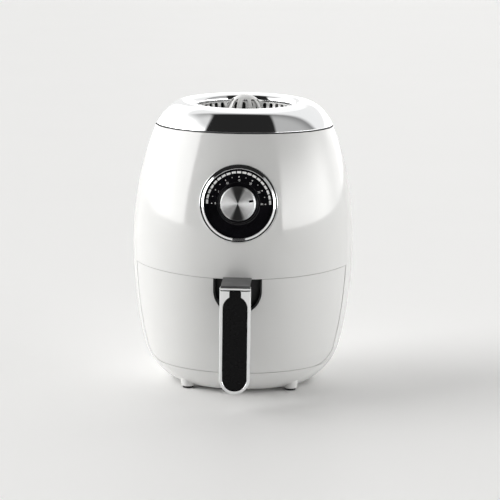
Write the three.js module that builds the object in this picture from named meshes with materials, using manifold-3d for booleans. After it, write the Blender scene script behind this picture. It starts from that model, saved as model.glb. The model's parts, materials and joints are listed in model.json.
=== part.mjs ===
// Compact round air fryer with a pull-out drawer, in millimetres.
// +Z is up and the drawer opens towards -Y. Inside the outer group the pieces are drawn around
// the axis of the round body; the group then moves the middle of the whole footprint to the origin.

import * as THREE from 'three';
import { mergeVertices } from 'three/addons/utils/BufferGeometryUtils.js';
import Module from 'manifold-3d';

const wasm = await Module();
wasm.setup();

// ---------------------------------------------------------------- driving dimensions

const GAP = 0.3; // clearance between pieces that touch
const BEYOND = 150; // how far cutters run out past the body
const ROUND = 40; // facets around the large turned pieces
const SMALL_ROUND = 16; // facets around the small turned pieces

// body outline: two half ellipses above and below the widest level, and a rounded lower corner
const WIDEST_R = 125;
const WIDEST_Z = 158.3;
const UPPER_SEMI_HEIGHT = 223.9;
const LOWER_SEMI_HEIGHT = 249.3;
const CORNER_TOP_Z = 44.4;
const CORNER_R = 65.5;
const BASE_Z = 4.4;
const BASE_SEAM_Z = 28;
const CROWN_SEAM_Z = 293;
const SHELL_WALL = 2.8;

// drawer front: its top edge dips in the middle, its sides follow the body
const SEAM_Z = 137;
const SEAM_RISE = 4;
const PANEL_HALF_ANGLE = THREE.MathUtils.degToRad(70);
const PANEL_CORNER = 16;
const PANEL_WALL = 3;
const PANEL_GAP = 0.35;

// feet
const FOOT_X = 57.5;
const FOOT_Y = 59;
const FOOT_R = 8;
const FOOT_TOP_Z = 14;
const PAD_R = 6.2;
const PAD_HEIGHT = 2;
const BASE_WALL = 3;
const BASE_SCREW_CIRCLE_R = 70;

// crown and air inlet grille; the crown's top leans forward, by LEAN mm for each mm from the axis
const CROWN_SHEET = 2.7;
const SHOULDER_R = 93.3;
const SHOULDER_Z = 305.3;
const CREST_R = 68;
const CREST_Z = 318.6;
const RIM_R = 56;
const RIM_Z = 312.8;
const LEAN = 0.036;
const GRILLE_WALL_R = 55.6;
const GRILLE_WALL = 2.2;
const GRILLE_TOP_Z = 311.3;
const GRILLE_FLOOR_Z = 294;
const GRILLE_FLOOR_TOP_Z = 296.5;
const GRILLE_SLOTS = 40;
const DOME_R = 22.5;
const DOME_TOP_Z = 326;
const DOME_SPRING_Z = 303;
const DOME_SLOTS = 10;

// cavity that the drawer slides into
const LINER_R = 96.5;
const LINER_SHEET = 1.2;
const LINER_FLOOR_Z = 30;
const LINER_FRONT_Y = -24.2;
const DECK_Z = 142;
const DECK_OPENING_R = 93;

// heating chamber above the cavity
const REFLECTOR_TOP_Z = 182;
const ELEMENT_Z = 158;
const ELEMENT_TUBE_R = 3.25;
const ELEMENT_OUTER_R = 80;
const ELEMENT_INNER_R = 62;
const SHAFT_R = 3;
const BRACKET_Z = 192;
const MOTOR_R = 30;
const MOTOR_TOP_Z = 226;

// timer dial, square to the body surface
const DIAL_Z = 219;
const DIAL_TILT = THREE.MathUtils.degToRad(9);
const BEZEL_OUTER_R = 42.3;
const BEZEL_INNER_R = 37.5;
const BEZEL_FRONT = 2.2;
const KNOB_R = 18.75;
const KNOB_FRONT = 19;

// pan and basket
const PAN_FLOOR_Z = 31.4;
const PAN_FLOOR_R = 79;
const PAN_TOP_R = 92;
const PAN_RIM_R = 95;
const PAN_TOP_Z = 132.2;
const BASKET_FLOOR_Z = 42;
const BASKET_TOP_Z = 130;
const BASKET_TOP_R = 89.6;

// handle
const HANDLE_FRONT_Y = -170;
const HANDLE_SPLIT_Y = -160;
const HANDLE_BACK_Y = -150;
const HANDLE_HALF_WIDTH = 16.65;
const HANDLE_BOTTOM_Z = 20.3;
const HANDLE_TOP_Z = 136;
const HANDLE_BORDER = 3.4;
const NECK_HALF_WIDTH = 6;
const RECESS_HALF_WIDTH = 26.5;
const RECESS_CENTRE_Z = 123.5;
const RECESS_DEPTH = 9.5;
const ARM_HALF_WIDTH = 8;
const ARM_TOP_Z = 132.2;
const GUARD_FRONT_TOP_Z = 138.2;
const GUARD_BACK_TOP_Z = 139.6;
const GUARD_BACK_Y = -127;

// ---------------------------------------------------------------- materials

function material(color, roughness, metalness) {
  return new THREE.MeshStandardMaterial({ color, roughness, metalness });
}

const WHITE = material(0xf1f1ef, 0.22, 0);
const CHROME = material(0xd9dbdd, 0.06, 1);
const BLACK = material(0x141414, 0.4, 0);
const SMOKE = material(0x5d5d5d, 0.3, 0);
const STEEL = material(0xb9bbbd, 0.35, 1);
const COATED = material(0x2a2a2b, 0.45, 0.2);
const GREY = material(0xc9c9c6, 0.4, 0);
const RUBBER = material(0x1a1a1a, 0.85, 0);

// ---------------------------------------------------------------- shape helpers

/** A manifold solid from a closed three.js geometry. */
function solid(geometry) {
  const plain = geometry.clone();
  plain.deleteAttribute('normal');
  plain.deleteAttribute('uv');
  const merged = mergeVertices(plain, 1e-4);
  const vertProperties = merged.attributes.position.array;
  const triVerts = new Uint32Array(merged.index.array);
  return new wasm.Manifold(new wasm.Mesh({ numProp: 3, vertProperties, triVerts }));
}

/** A three.js geometry from a manifold solid. */
function geometryOf(shape) {
  const mesh = shape.getMesh();
  const geometry = new THREE.BufferGeometry();
  geometry.setAttribute('position', new THREE.BufferAttribute(mesh.vertProperties, 3));
  geometry.setIndex(new THREE.BufferAttribute(mesh.triVerts, 1));
  geometry.computeVertexNormals();
  return geometry;
}

/** A named mesh in a group. */
function piece(parent, name, shape, look) {
  const mesh = new THREE.Mesh(geometryOf(shape), look);
  mesh.name = name;
  parent.add(mesh);
  return mesh;
}

/** A solid turned around Z from [radius, height] points, anticlockwise in the half plane. */
function turned(points, facets = ROUND) {
  const profile = points.map(([radius, height]) => new THREE.Vector2(radius, height));
  if (points[0][0] > 0) {
    profile.push(profile[0].clone());
  }
  const geometry = new THREE.LatheGeometry(profile, facets);
  geometry.rotateX(Math.PI / 2);
  return solid(geometry);
}

/** A turned ring of rectangular section. */
function ring(innerR, outerR, low, high, facets = ROUND) {
  return turned([[innerR, low], [outerR, low], [outerR, high], [innerR, high]], facets);
}

/** An upright round bar. */
function post(radius, low, high, facets = SMALL_ROUND) {
  return turned([[0, low], [radius, low], [radius, high], [0, high]], facets);
}

/** A box between two corners. */
function block([x0, y0, z0], [x1, y1, z1]) {
  const geometry = new THREE.BoxGeometry(x1 - x0, y1 - y0, z1 - z0);
  geometry.translate((x0 + x1) / 2, (y0 + y1) / 2, (z0 + z1) / 2);
  return solid(geometry);
}

/** An outline in plan view, raised from one height to another. */
function raised(outline, low, high, curveSegments = 12) {
  const settings = { depth: high - low, bevelEnabled: false, curveSegments };
  const geometry = new THREE.ExtrudeGeometry(outline, settings);
  geometry.translate(0, 0, low);
  return solid(geometry);
}

/** An outline in front view (x, z), run from one y to another. */
function fronted(outline, front, back, curveSegments = 12) {
  const settings = { depth: back - front, bevelEnabled: false, curveSegments };
  const geometry = new THREE.ExtrudeGeometry(outline, settings);
  geometry.rotateX(Math.PI / 2);
  geometry.translate(0, back, 0);
  return solid(geometry);
}

/** An outline in side view (y, z), centred on x = 0. */
function sided(outline, width) {
  const geometry = new THREE.ExtrudeGeometry(outline, { depth: width, bevelEnabled: false });
  geometry.rotateX(Math.PI / 2);
  geometry.rotateZ(Math.PI / 2);
  geometry.translate(-width / 2, 0, 0);
  return solid(geometry);
}

/** A closed outline through [a, b] points. */
function outlineOf(points) {
  return new THREE.Shape(points.map(([a, b]) => new THREE.Vector2(a, b)));
}

/** An upright outline with a half-round bottom and a flat top. */
function roundBottomed(halfWidth, low, high) {
  const outline = new THREE.Shape();
  outline.absarc(0, low + halfWidth, halfWidth, Math.PI, 2 * Math.PI, false);
  outline.lineTo(halfWidth, high);
  outline.lineTo(-halfWidth, high);
  outline.closePath();
  return outline;
}

/** A rectangle about a middle point. */
function rectangle(halfWidth, halfHeight, middleB = 0) {
  const low = middleB - halfHeight;
  const high = middleB + halfHeight;
  return outlineOf([[-halfWidth, low], [halfWidth, low], [halfWidth, high], [-halfWidth, high]]);
}

/** Copies of a solid turned around Z, joined into one. */
function around(shape, count, startDegrees = 0) {
  let all = null;
  for (let i = 0; i < count; i += 1) {
    const copy = shape.rotate([0, 0, startDegrees + (360 * i) / count]);
    all = all ? all.add(copy) : copy;
  }
  return all;
}

/** Evenly spaced values, both ends included. */
function spread(first, last, count) {
  return Array.from({ length: count }, (_, i) => first + ((last - first) * i) / (count - 1));
}

/** A point at a radius and an angle from +X. */
function polar(radius, degrees, height) {
  const angle = THREE.MathUtils.degToRad(degrees);
  return new THREE.Vector3(radius * Math.cos(angle), radius * Math.sin(angle), height);
}

// ---------------------------------------------------------------- body outline

function ellipseRadius(z) {
  const semiHeight = z > WIDEST_Z ? UPPER_SEMI_HEIGHT : LOWER_SEMI_HEIGHT;
  return WIDEST_R * Math.sqrt(1 - ((z - WIDEST_Z) / semiHeight) ** 2);
}

// the lower corner arc leaves the lower ellipse along its tangent
const cornerStartR = ellipseRadius(CORNER_TOP_Z);
const cornerSlope = (WIDEST_R ** 2 * (WIDEST_Z - CORNER_TOP_Z)) / (LOWER_SEMI_HEIGHT ** 2 * cornerStartR);
const cornerNormal = Math.hypot(1, cornerSlope);
const cornerCentreR = cornerStartR - CORNER_R / cornerNormal;
const cornerCentreZ = CORNER_TOP_Z + (CORNER_R * cornerSlope) / cornerNormal;

/** Outer radius of the body at a height. */
function bodyRadius(z) {
  if (z >= CORNER_TOP_Z) {
    return ellipseRadius(z);
  }
  return cornerCentreR + Math.sqrt(CORNER_R ** 2 - (cornerCentreZ - z) ** 2);
}

/** A shell that follows the body outline, between two depths below the outer surface. */
function bodyShell(low, high, outerDepth, innerDepth, levels = 9) {
  const heights = spread(low, high, levels);
  const outside = heights.map((z) => [bodyRadius(z) - outerDepth, z]);
  const inside = heights.map((z) => [bodyRadius(z) - innerDepth, z]).reverse();
  return turned([...outside, ...inside]);
}

// ---------------------------------------------------------------- outlines of the openings

/** Front view of the drawer front, inset by a gap. */
function panelOutline(gap) {
  const low = BASE_SEAM_Z + gap;
  const sideX = (z) => bodyRadius(z) * Math.sin(PANEL_HALF_ANGLE) - gap;
  const topZ = (x) => SEAM_Z + SEAM_RISE * (x / WIDEST_R) ** 2 - gap;
  const outline = new THREE.Shape();
  const cornerX = sideX(low);
  const topX = sideX(SEAM_Z + SEAM_RISE);
  outline.moveTo(-cornerX + PANEL_CORNER, low);
  outline.lineTo(cornerX - PANEL_CORNER, low);
  outline.quadraticCurveTo(cornerX, low, sideX(low + PANEL_CORNER), low + PANEL_CORNER);
  for (const z of spread(low + PANEL_CORNER, topZ(topX), 8).slice(1)) {
    outline.lineTo(sideX(z), z);
  }
  for (const x of spread(topX, -topX, 13).slice(1)) {
    outline.lineTo(x, topZ(x));
  }
  for (const z of spread(topZ(topX), low + PANEL_CORNER, 8).slice(1)) {
    outline.lineTo(-sideX(z), z);
  }
  outline.quadraticCurveTo(-cornerX, low, -cornerX + PANEL_CORNER, low);
  return outline;
}

/** Front view of the round-bottomed recess behind the handle, inset by a gap. */
function recessOutline(gap, top) {
  const halfWidth = RECESS_HALF_WIDTH - gap;
  return roundBottomed(halfWidth, RECESS_CENTRE_Z - halfWidth, top);
}

// ---------------------------------------------------------------- base and feet

function basePan() {
  const wall = (z) => BASE_WALL * (2 - z / BASE_SEAM_Z); // thicker towards the floor
  const floorZ = BASE_Z + BASE_WALL;
  const top = BASE_SEAM_Z - PANEL_GAP / 2;
  const outside = spread(BASE_Z, top, 5).map((z) => [bodyRadius(z), z]);
  const inside = spread(top, floorZ, 3).map((z) => [bodyRadius(z) - wall(z), z]);
  let shape = turned([[0, BASE_Z], ...outside, ...inside, [0, floorZ]]);
  for (const x of [-FOOT_X, FOOT_X]) {
    for (const y of [-FOOT_Y, FOOT_Y]) {
      shape = shape.add(post(FOOT_R, PAD_HEIGHT + GAP, FOOT_TOP_Z, 12).translate([x, y, 0]));
    }
  }
  const screwHole = post(2.3, 0, 12, 8);
  const counterbore = post(4.6, 0, 6, 8);
  for (const hole of baseScrewPlaces()) {
    shape = shape.subtract(screwHole.add(counterbore).translate([hole.x, hole.y, 0]));
  }
  return shape;
}

function baseScrewPlaces() {
  return [90, 210, 330].map((degrees) => polar(BASE_SCREW_CIRCLE_R, degrees, 0));
}

/** A screw with its head at the bottom. */
function screw(headR, shankR, headHeight, length) {
  return post(headR, 0, headHeight, 8).add(post(shankR, headHeight / 2, length, 8));
}

// ---------------------------------------------------------------- outer shell

const DIAL_PLACE = new THREE.Vector3(0, -bodyRadius(DIAL_Z), DIAL_Z);
const VENT_Z = 164;
const VENT_HALF_WIDTH = 30;
const VENT_HALF_HEIGHT = 17;
const GLAND_Z = 50;
const GLAND_NECK_R = 6.6;
const GLAND_START_Y = 101;
const GLAND_END_Y = 121;

/** Moves a solid drawn around the dial's own axis to its place on the body. */
function onDial(shape) {
  return shape.rotate([90 - THREE.MathUtils.radToDeg(DIAL_TILT), 0, 0]).translate(DIAL_PLACE.toArray());
}

/** Lays a solid drawn along +Z so that it points to the rear at the cord's height. */
function backwards(shape, startY) {
  return shape.rotate([-90, 0, 0]).translate([0, startY, GLAND_Z]);
}

function ventOutline(gap) {
  return rectangle(VENT_HALF_WIDTH - gap, VENT_HALF_HEIGHT - gap, VENT_Z);
}

function outerShell() {
  const low = BASE_SEAM_Z + PANEL_GAP / 2;
  const drawerOpening = fronted(panelOutline(0), -BEYOND, 0, 4);
  const openingFoot = block([-70, -BEYOND, 0], [70, 0, BASE_SEAM_Z + 2]);
  const dialHole = onDial(post(BEZEL_OUTER_R + GAP, -25, 20, 36));
  const ventHole = fronted(ventOutline(0), WIDEST_R / 2, BEYOND);
  const glandHole = backwards(post(GLAND_NECK_R + 0.4, 0, BEYOND), WIDEST_R / 2);
  return bodyShell(low, CROWN_SEAM_Z, 0, SHELL_WALL)
    .subtract(drawerOpening)
    .subtract(openingFoot)
    .subtract(dialHole)
    .subtract(ventHole)
    .subtract(glandHole);
}

function rearExhaustGrille() {
  const reach = VENT_HALF_HEIGHT + 3;
  const skin = bodyShell(VENT_Z - reach, VENT_Z + reach, 0, SHELL_WALL, 4);
  let shape = skin.intersect(fronted(ventOutline(GAP), WIDEST_R / 2, BEYOND));
  for (const z of spread(VENT_Z - 12, VENT_Z + 12, 5)) {
    shape = shape.subtract(fronted(rectangle(25, 1.6, z), WIDEST_R / 2, BEYOND));
  }
  return shape;
}

function exhaustDuct() {
  const outside = block([-26, 94, VENT_Z - 14], [26, 117.5, VENT_Z + 14]);
  return outside.subtract(block([-24.5, 80, VENT_Z - 12.5], [24.5, 130, VENT_Z + 12.5]));
}

function cordGland() {
  const length = GLAND_END_Y - GLAND_START_Y;
  const bore = backwards(post(4.1, -5, length + 5, 12), GLAND_START_Y);
  const flanges = backwards(post(10, 9, length), GLAND_START_Y);
  const keepOut = bodyShell(GLAND_Z - 20, GLAND_Z + 20, -2 * GAP, SHELL_WALL + 2 * GAP, 7);
  const neck = backwards(post(GLAND_NECK_R, 0, length - 1), GLAND_START_Y);
  return flanges.subtract(keepOut).add(neck).subtract(bore);
}

// ---------------------------------------------------------------- crown and inlet grille

/** Tips the top of a piece forward, more the further a point is above the crown's seam. */
function lean(mesh) {
  const points = mesh.geometry.attributes.position;
  for (let i = 0; i < points.count; i += 1) {
    const z = points.getZ(i);
    const share = Math.max(0, z - CROWN_SEAM_Z) / (CREST_Z - CROWN_SEAM_Z);
    points.setZ(i, z + LEAN * share * points.getY(i));
  }
}

/** Points along a cubic curve given by its four control points. */
function curvePoints(controls, count) {
  const corners = controls.map(([radius, height]) => new THREE.Vector2(radius, height));
  return new THREE.CubicBezierCurve(...corners).getPoints(count).map((point) => [point.x, point.y]);
}

function crownRing() {
  const low = CROWN_SEAM_Z + GAP;
  const under = CREST_Z - CROWN_SHEET;
  const footR = bodyRadius(CROWN_SEAM_Z);
  const lipR = RIM_R + CROWN_SHEET;
  const turnR = CREST_R + 14; // the crest's level stretch ends here
  const outside = [
    ...curvePoints([[footR, low], [SHOULDER_R, SHOULDER_Z], [turnR, CREST_Z], [CREST_R, CREST_Z]], 5),
    ...curvePoints([[CREST_R, CREST_Z], [61, CREST_Z], [RIM_R, CREST_Z - 2], [RIM_R, RIM_Z]], 3).slice(1),
  ];
  const inside = [
    ...curvePoints([[lipR, RIM_Z - 1], [lipR, under - 1.3], [62, under], [CREST_R, under]], 2),
    ...curvePoints([
      [CREST_R, under], [turnR - 1, under], [SHOULDER_R - 2.4, SHOULDER_Z - 1.7], [footR - 3, low],
    ], 3).slice(1),
  ];
  return turned([...outside, [RIM_R, RIM_Z - 1], ...inside]);
}

const FRAME_TOP_Z = 288.6;
const COLLAR_R = 60;

/** The frame under the crown: a flat ring with a collar around the inlet. */
function topFrame() {
  const low = 286;
  const collarTop = RIM_Z - 1.8;
  const collarOuterR = COLLAR_R + 2.5;
  return turned([
    [56, low], [98, low], [98, FRAME_TOP_Z], [collarOuterR, FRAME_TOP_Z], [collarOuterR, collarTop],
    [COLLAR_R, collarTop], [COLLAR_R, FRAME_TOP_Z], [56, FRAME_TOP_Z],
  ], 30);
}

function topGrille() {
  const wallInnerR = GRILLE_WALL_R - GRILLE_WALL;
  const foot = FRAME_TOP_Z + GAP;
  const slotLow = GRILLE_FLOOR_TOP_Z + 1;
  const slotHigh = GRILLE_TOP_Z - 1.2;
  const wall = ring(wallInnerR, GRILLE_WALL_R, foot, GRILLE_TOP_Z, GRILLE_SLOTS);
  const flange = ring(wallInnerR, COLLAR_R - 0.4, foot, foot + 2.1, GRILLE_SLOTS);
  const floor = ring(DOME_R - 4, wallInnerR + 1, GRILLE_FLOOR_Z, GRILLE_FLOOR_TOP_Z, GRILLE_SLOTS);
  const wallSlot = fronted(rectangle(2.5, (slotHigh - slotLow) / 2, (slotHigh + slotLow) / 2), -70, -45);
  const floorSlot = block([28, -5, 290], [50, 5, 300]);
  return wall
    .add(flange)
    .add(floor)
    .subtract(around(wallSlot, GRILLE_SLOTS, 180 / GRILLE_SLOTS))
    .subtract(around(floorSlot, GRILLE_SLOTS / 4));
}

/** Half section of a plug with straight sides and an elliptical top. */
function domeProfile(radius, low, top) {
  const curve = [0, 22.5, 45, 67.5].map((degrees) => {
    const point = polar(1, degrees, 0);
    return [radius * point.x, DOME_SPRING_Z + (top - DOME_SPRING_Z) * point.y];
  });
  return [[0, low], [radius, low], ...curve, [0, top]];
}

function grilleDome() {
  const low = GRILLE_FLOOR_TOP_Z + GAP;
  const wall = 2.4;
  const facets = 2 * DOME_SLOTS;
  const outside = turned(domeProfile(DOME_R, low, DOME_TOP_Z), facets);
  const hollow = turned(domeProfile(DOME_R - wall, low - 1, DOME_TOP_Z - wall), facets);
  const flare = Math.tan(THREE.MathUtils.degToRad(8.5));
  const start = 9;
  const reach = 30;
  const wedge = raised(outlineOf([
    [start, -start * flare], [reach, -reach * flare], [reach, reach * flare], [start, start * flare],
  ]), 300.5, 320);
  return outside.subtract(hollow).subtract(around(wedge, DOME_SLOTS, 180 / facets));
}

function ventGuard() {
  const outline = new THREE.Shape();
  outline.absarc(0, 0, 56.4, 0, 2 * Math.PI, false);
  const spokes = 8;
  const halfGap = THREE.MathUtils.degToRad(360 / spokes / 2 - 4);
  for (let i = 0; i < spokes; i += 1) {
    const middle = (2 * Math.PI * i) / spokes;
    const hole = new THREE.Path();
    hole.absarc(0, 0, 52, middle - halfGap, middle + halfGap, false);
    hole.absarc(0, 0, 14, middle + halfGap, middle - halfGap, true);
    hole.closePath();
    outline.holes.push(hole);
  }
  return raised(outline, 276, 278.5, 4);
}

// ---------------------------------------------------------------- cavity for the drawer

function cavityLiner() {
  const outerR = LINER_R + LINER_SHEET;
  const floorR = 94;
  const wallOutline = new THREE.Shape();
  wallOutline.moveTo(outerR, LINER_FRONT_Y);
  wallOutline.absarc(0, 0, outerR, 0, Math.PI, false);
  wallOutline.lineTo(-outerR, LINER_FRONT_Y);
  wallOutline.lineTo(-LINER_R, LINER_FRONT_Y);
  wallOutline.absarc(0, 0, LINER_R, Math.PI, 0, true);
  wallOutline.lineTo(LINER_R, LINER_FRONT_Y);
  wallOutline.closePath();
  const floorOutline = new THREE.Shape();
  floorOutline.moveTo(outerR, LINER_FRONT_Y);
  floorOutline.absarc(0, 0, outerR, 0, Math.PI, false);
  floorOutline.lineTo(-outerR, LINER_FRONT_Y);
  floorOutline.closePath();
  const walls = raised(wallOutline, LINER_FLOOR_Z, DECK_Z - GAP, 10);
  const rearFloor = raised(floorOutline, LINER_FLOOR_Z, LINER_FLOOR_Z + LINER_SHEET, 10);
  const frontFloor = post(floorR, LINER_FLOOR_Z, LINER_FLOOR_Z + LINER_SHEET, ROUND);
  const skirt = ring(floorR - LINER_SHEET, floorR, BASE_SEAM_Z + 0.6, LINER_FLOOR_Z + 0.5);
  const frontSkirt = skirt.intersect(block([-120, -120, 0], [120, LINER_FRONT_Y - 2.6, 60]));
  return walls.add(rearFloor).add(frontFloor).add(frontSkirt);
}

function openingFrame() {
  const back = LINER_FRONT_Y - GAP;
  const front = back - 2;
  const low = BASE_SEAM_Z + 0.8;
  const high = DECK_Z - GAP;
  const outerX = (z) => Math.sqrt((bodyRadius(z) - SHELL_WALL - 1.6) ** 2 - front ** 2);
  const heights = spread(low, high, 9);
  const rightSide = heights.map((z) => [outerX(z), z]);
  const leftSide = heights.map((z) => [-outerX(z), z]).reverse();
  const sill = LINER_FLOOR_Z - GAP;
  const inner = [[-LINER_R, high], [-LINER_R, sill], [LINER_R, sill], [LINER_R, high]];
  return fronted(outlineOf([...rightSide, ...inner.reverse(), ...leftSide]), front, back);
}

function chamberDeck() {
  return ring(DECK_OPENING_R, bodyRadius(DECK_Z) - SHELL_WALL - 0.5, DECK_Z, DECK_Z + 2);
}

// ---------------------------------------------------------------- heating chamber

function heatReflector() {
  const flangeZ = DECK_Z + 2 + GAP;
  const sheet = 1;
  const hat = turned([
    [91, flangeZ],
    [108, flangeZ],
    [108, flangeZ + sheet],
    [92, flangeZ + sheet],
    [88, REFLECTOR_TOP_Z],
    [9, REFLECTOR_TOP_Z],
    [9, REFLECTOR_TOP_Z - sheet],
    [87, REFLECTOR_TOP_Z - sheet],
  ], 30);
  const exhaust = block([-24, 60, VENT_Z - 12], [24, 110, VENT_Z + 12]);
  const legHole = post(4.6, REFLECTOR_TOP_Z - 5, REFLECTOR_TOP_Z + 5, 12);
  return hat
    .subtract(exhaust)
    .subtract(legHole.translate([ELEMENT_LEGS[0].x, ELEMENT_LEGS[0].y, 0]))
    .subtract(legHole.translate([ELEMENT_LEGS[1].x, ELEMENT_LEGS[1].y, 0]));
}

// the element is two nearly full loops joined by a hairpin, with both ends turned up
const ELEMENT_START = 20;
const ELEMENT_TURN = 322;
const ELEMENT_BEND_R = 9;
const INNER_LEG = ELEMENT_START + THREE.MathUtils.radToDeg(ELEMENT_BEND_R / ELEMENT_INNER_R);
const ELEMENT_LEGS = [polar(ELEMENT_OUTER_R, ELEMENT_START, 0), polar(ELEMENT_INNER_R, INNER_LEG, 0)];

function elementPath() {
  const points = [];
  const legTop = BRACKET_Z - 2;
  const legFoot = ELEMENT_Z + ELEMENT_BEND_R;
  const end = ELEMENT_START + ELEMENT_TURN;
  const bend = (radius, legDegrees, steps) => steps.map((degrees) => {
    const turn = THREE.MathUtils.degToRad(degrees);
    const along = (ELEMENT_BEND_R * (1 - Math.cos(turn))) / radius;
    const height = legFoot - ELEMENT_BEND_R * Math.sin(turn);
    return polar(radius, legDegrees + THREE.MathUtils.radToDeg(along), height);
  });
  for (const z of spread(legTop, legFoot + 4, 3)) {
    points.push(polar(ELEMENT_OUTER_R, ELEMENT_START, z));
  }
  points.push(...bend(ELEMENT_OUTER_R, ELEMENT_START, [0, 30, 60, 90]));
  for (const degrees of spread(ELEMENT_START + 12, end, 32)) {
    points.push(polar(ELEMENT_OUTER_R, degrees, ELEMENT_Z));
  }
  const middleR = (ELEMENT_OUTER_R + ELEMENT_INNER_R) / 2;
  for (const turn of [45, 90, 135]) {
    const local = polar(ELEMENT_BEND_R, turn, 0);
    const along = THREE.MathUtils.radToDeg(local.y / middleR);
    points.push(polar(middleR + local.x, end + along, ELEMENT_Z));
  }
  for (const degrees of spread(end, INNER_LEG + 14, 30)) {
    points.push(polar(ELEMENT_INNER_R, degrees, ELEMENT_Z));
  }
  points.push(...bend(ELEMENT_INNER_R, INNER_LEG, [90, 60, 30, 0]));
  for (const z of spread(legFoot + 4, legTop, 3)) {
    points.push(polar(ELEMENT_INNER_R, INNER_LEG, z));
  }
  return new THREE.CatmullRomCurve3(points, false, 'centripetal');
}

function heatingElement() {
  const section = new THREE.Shape();
  section.absarc(0, 0, ELEMENT_TUBE_R, 0, 2 * Math.PI, false);
  const settings = { steps: 72, extrudePath: elementPath(), curveSegments: 3, bevelEnabled: false };
  return solid(new THREE.ExtrudeGeometry(section, settings));
}

function elementClip() {
  const barTop = ELEMENT_Z - ELEMENT_TUBE_R - GAP;
  const bar = block([57, -4, barTop - 1.6], [85, 4, barTop]);
  return bar.add(block([70.2, -4, barTop - 1], [71.8, 4, REFLECTOR_TOP_Z - 1 - GAP]));
}

function hotAirFan() {
  const hub = ring(SHAFT_R + GAP, 9, 166, 178, 16);
  const backPlate = ring(8, 50, 176.5, 178, 16);
  const blade = block([14, -0.8, 167], [52, 0.8, 177]);
  return hub.add(backPlate).add(around(blade, 8));
}

function fanNut() {
  return post(7, 160.5, 165.6, 6).subtract(post(SHAFT_R + GAP, 150, 170));
}

function motorBracket() {
  const feetZ = DECK_Z + 3 + 2 * GAP;
  const sheet = 1.6;
  const innerX = 97;
  const halfWidth = 22;
  const outside = [
    [-106, feetZ], [-innerX, feetZ], [-innerX, BRACKET_Z], [innerX, BRACKET_Z], [innerX, feetZ], [106, feetZ],
    [106, feetZ + sheet], [innerX + sheet, feetZ + sheet], [innerX + sheet, BRACKET_Z + sheet],
    [-innerX - sheet, BRACKET_Z + sheet], [-innerX - sheet, feetZ + sheet], [-106, feetZ + sheet],
  ];
  const strap = fronted(outlineOf(outside), -halfWidth, halfWidth);
  return strap.subtract(post(7, BRACKET_Z - 5, BRACKET_Z + 5));
}

function fanMotor() {
  const low = BRACKET_Z + 1.6 + GAP;
  const bore = SHAFT_R + GAP;
  return turned([
    [bore, low], [MOTOR_R, low], [MOTOR_R, MOTOR_TOP_Z - 6], [MOTOR_R - 4, MOTOR_TOP_Z - 2],
    [9, MOTOR_TOP_Z - 2], [9, MOTOR_TOP_Z], [bore, MOTOR_TOP_Z],
  ], 20);
}

function coolingFan() {
  const hub = ring(SHAFT_R + GAP, 10, 231, 249, 14);
  const blade = block([8, -10, -0.8], [50, 10, 0.8]).rotate([38, 0, 0]).translate([0, 0, 240]);
  return hub.add(around(blade.subtract(post(SHAFT_R + GAP, 220, 260, 24)), 7));
}

// ---------------------------------------------------------------- timer, drawn along +Z of the dial's axis

function dialBezel() {
  const front = BEZEL_FRONT;
  return turned([
    [BEZEL_INNER_R, -11], [BEZEL_OUTER_R, -11], [BEZEL_OUTER_R, front - 1], [BEZEL_OUTER_R - 1, front],
    [BEZEL_INNER_R + 1.2, front], [BEZEL_INNER_R, front - 1],
  ], 32);
}

function dialPlate() {
  return ring(4, BEZEL_INNER_R - GAP, -1, 0.6, 32);
}

function dialCarrier() {
  return turned([[5, -9.5], [37.2, -9.5], [37.2, -1.3], [34.5, -1.3], [34.5, -7], [5, -7]], 20);
}

function timerUnit() {
  const can = block([-24, -22, -42], [24, 22, -9.8]);
  return can.subtract(post(SHAFT_R + GAP, -16, 0));
}

function timerShaft() {
  return post(SHAFT_R, -15, KNOB_FRONT - 3.3);
}

function timerKnob() {
  const skirt = turned([
    [0, 1.2], [KNOB_R, 1.2], [KNOB_R, KNOB_FRONT - 1], [KNOB_R - 1, KNOB_FRONT], [0, KNOB_FRONT],
  ], 32);
  return skirt.subtract(post(SHAFT_R + GAP, -2, KNOB_FRONT - 3));
}

// ---------------------------------------------------------------- drawer

function drawerFront() {
  const skin = bodyShell(BASE_SEAM_Z, SEAM_Z + SEAM_RISE + 2, 0, PANEL_WALL, 7);
  const outline = fronted(panelOutline(PANEL_GAP), -BEYOND, 0, 4);
  return skin.intersect(outline).subtract(fronted(recessOutline(0, BEYOND), -BEYOND, -WIDEST_R / 2, 10));
}

function handleRecess() {
  const top = SEAM_Z - PANEL_GAP - 0.3;
  const whole = bodyShell(90, top + 4, 1, RECESS_DEPTH + 2.5, 5);
  const cup = whole.intersect(fronted(recessOutline(GAP, top), -BEYOND, -WIDEST_R / 2, 10));
  const hollowSkin = bodyShell(85, top + 8, -10, RECESS_DEPTH, 5);
  const hollow = hollowSkin.intersect(fronted(recessOutline(2.4, top + 5), -BEYOND, -WIDEST_R / 2, 10));
  const strapSlot = block([-12.5, -125, ARM_TOP_Z], [12.5, -100, ARM_TOP_Z + 2.3]);
  return cup.subtract(hollow).subtract(strapSlot);
}

function drawerLedge() {
  const low = 126.5;
  const high = 129;
  const innerR = PAN_TOP_R + 0.6;
  const outerR = bodyRadius(low) - PANEL_WALL - 0.6;
  const reach = THREE.MathUtils.degToRad(54);
  const outline = new THREE.Shape();
  outline.absarc(0, 0, outerR, -Math.PI / 2 - reach, -Math.PI / 2 + reach, false);
  outline.absarc(0, 0, innerR, -Math.PI / 2 + reach, -Math.PI / 2 - reach, true);
  outline.closePath();
  const aroundRecess = fronted(recessOutline(-0.4, 150), -130, -106, 10);
  const aroundLatch = block([-11, -120, 100], [11, -98, 150]);
  return raised(outline, low, high, 20).subtract(aroundRecess).subtract(aroundLatch);
}

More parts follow.
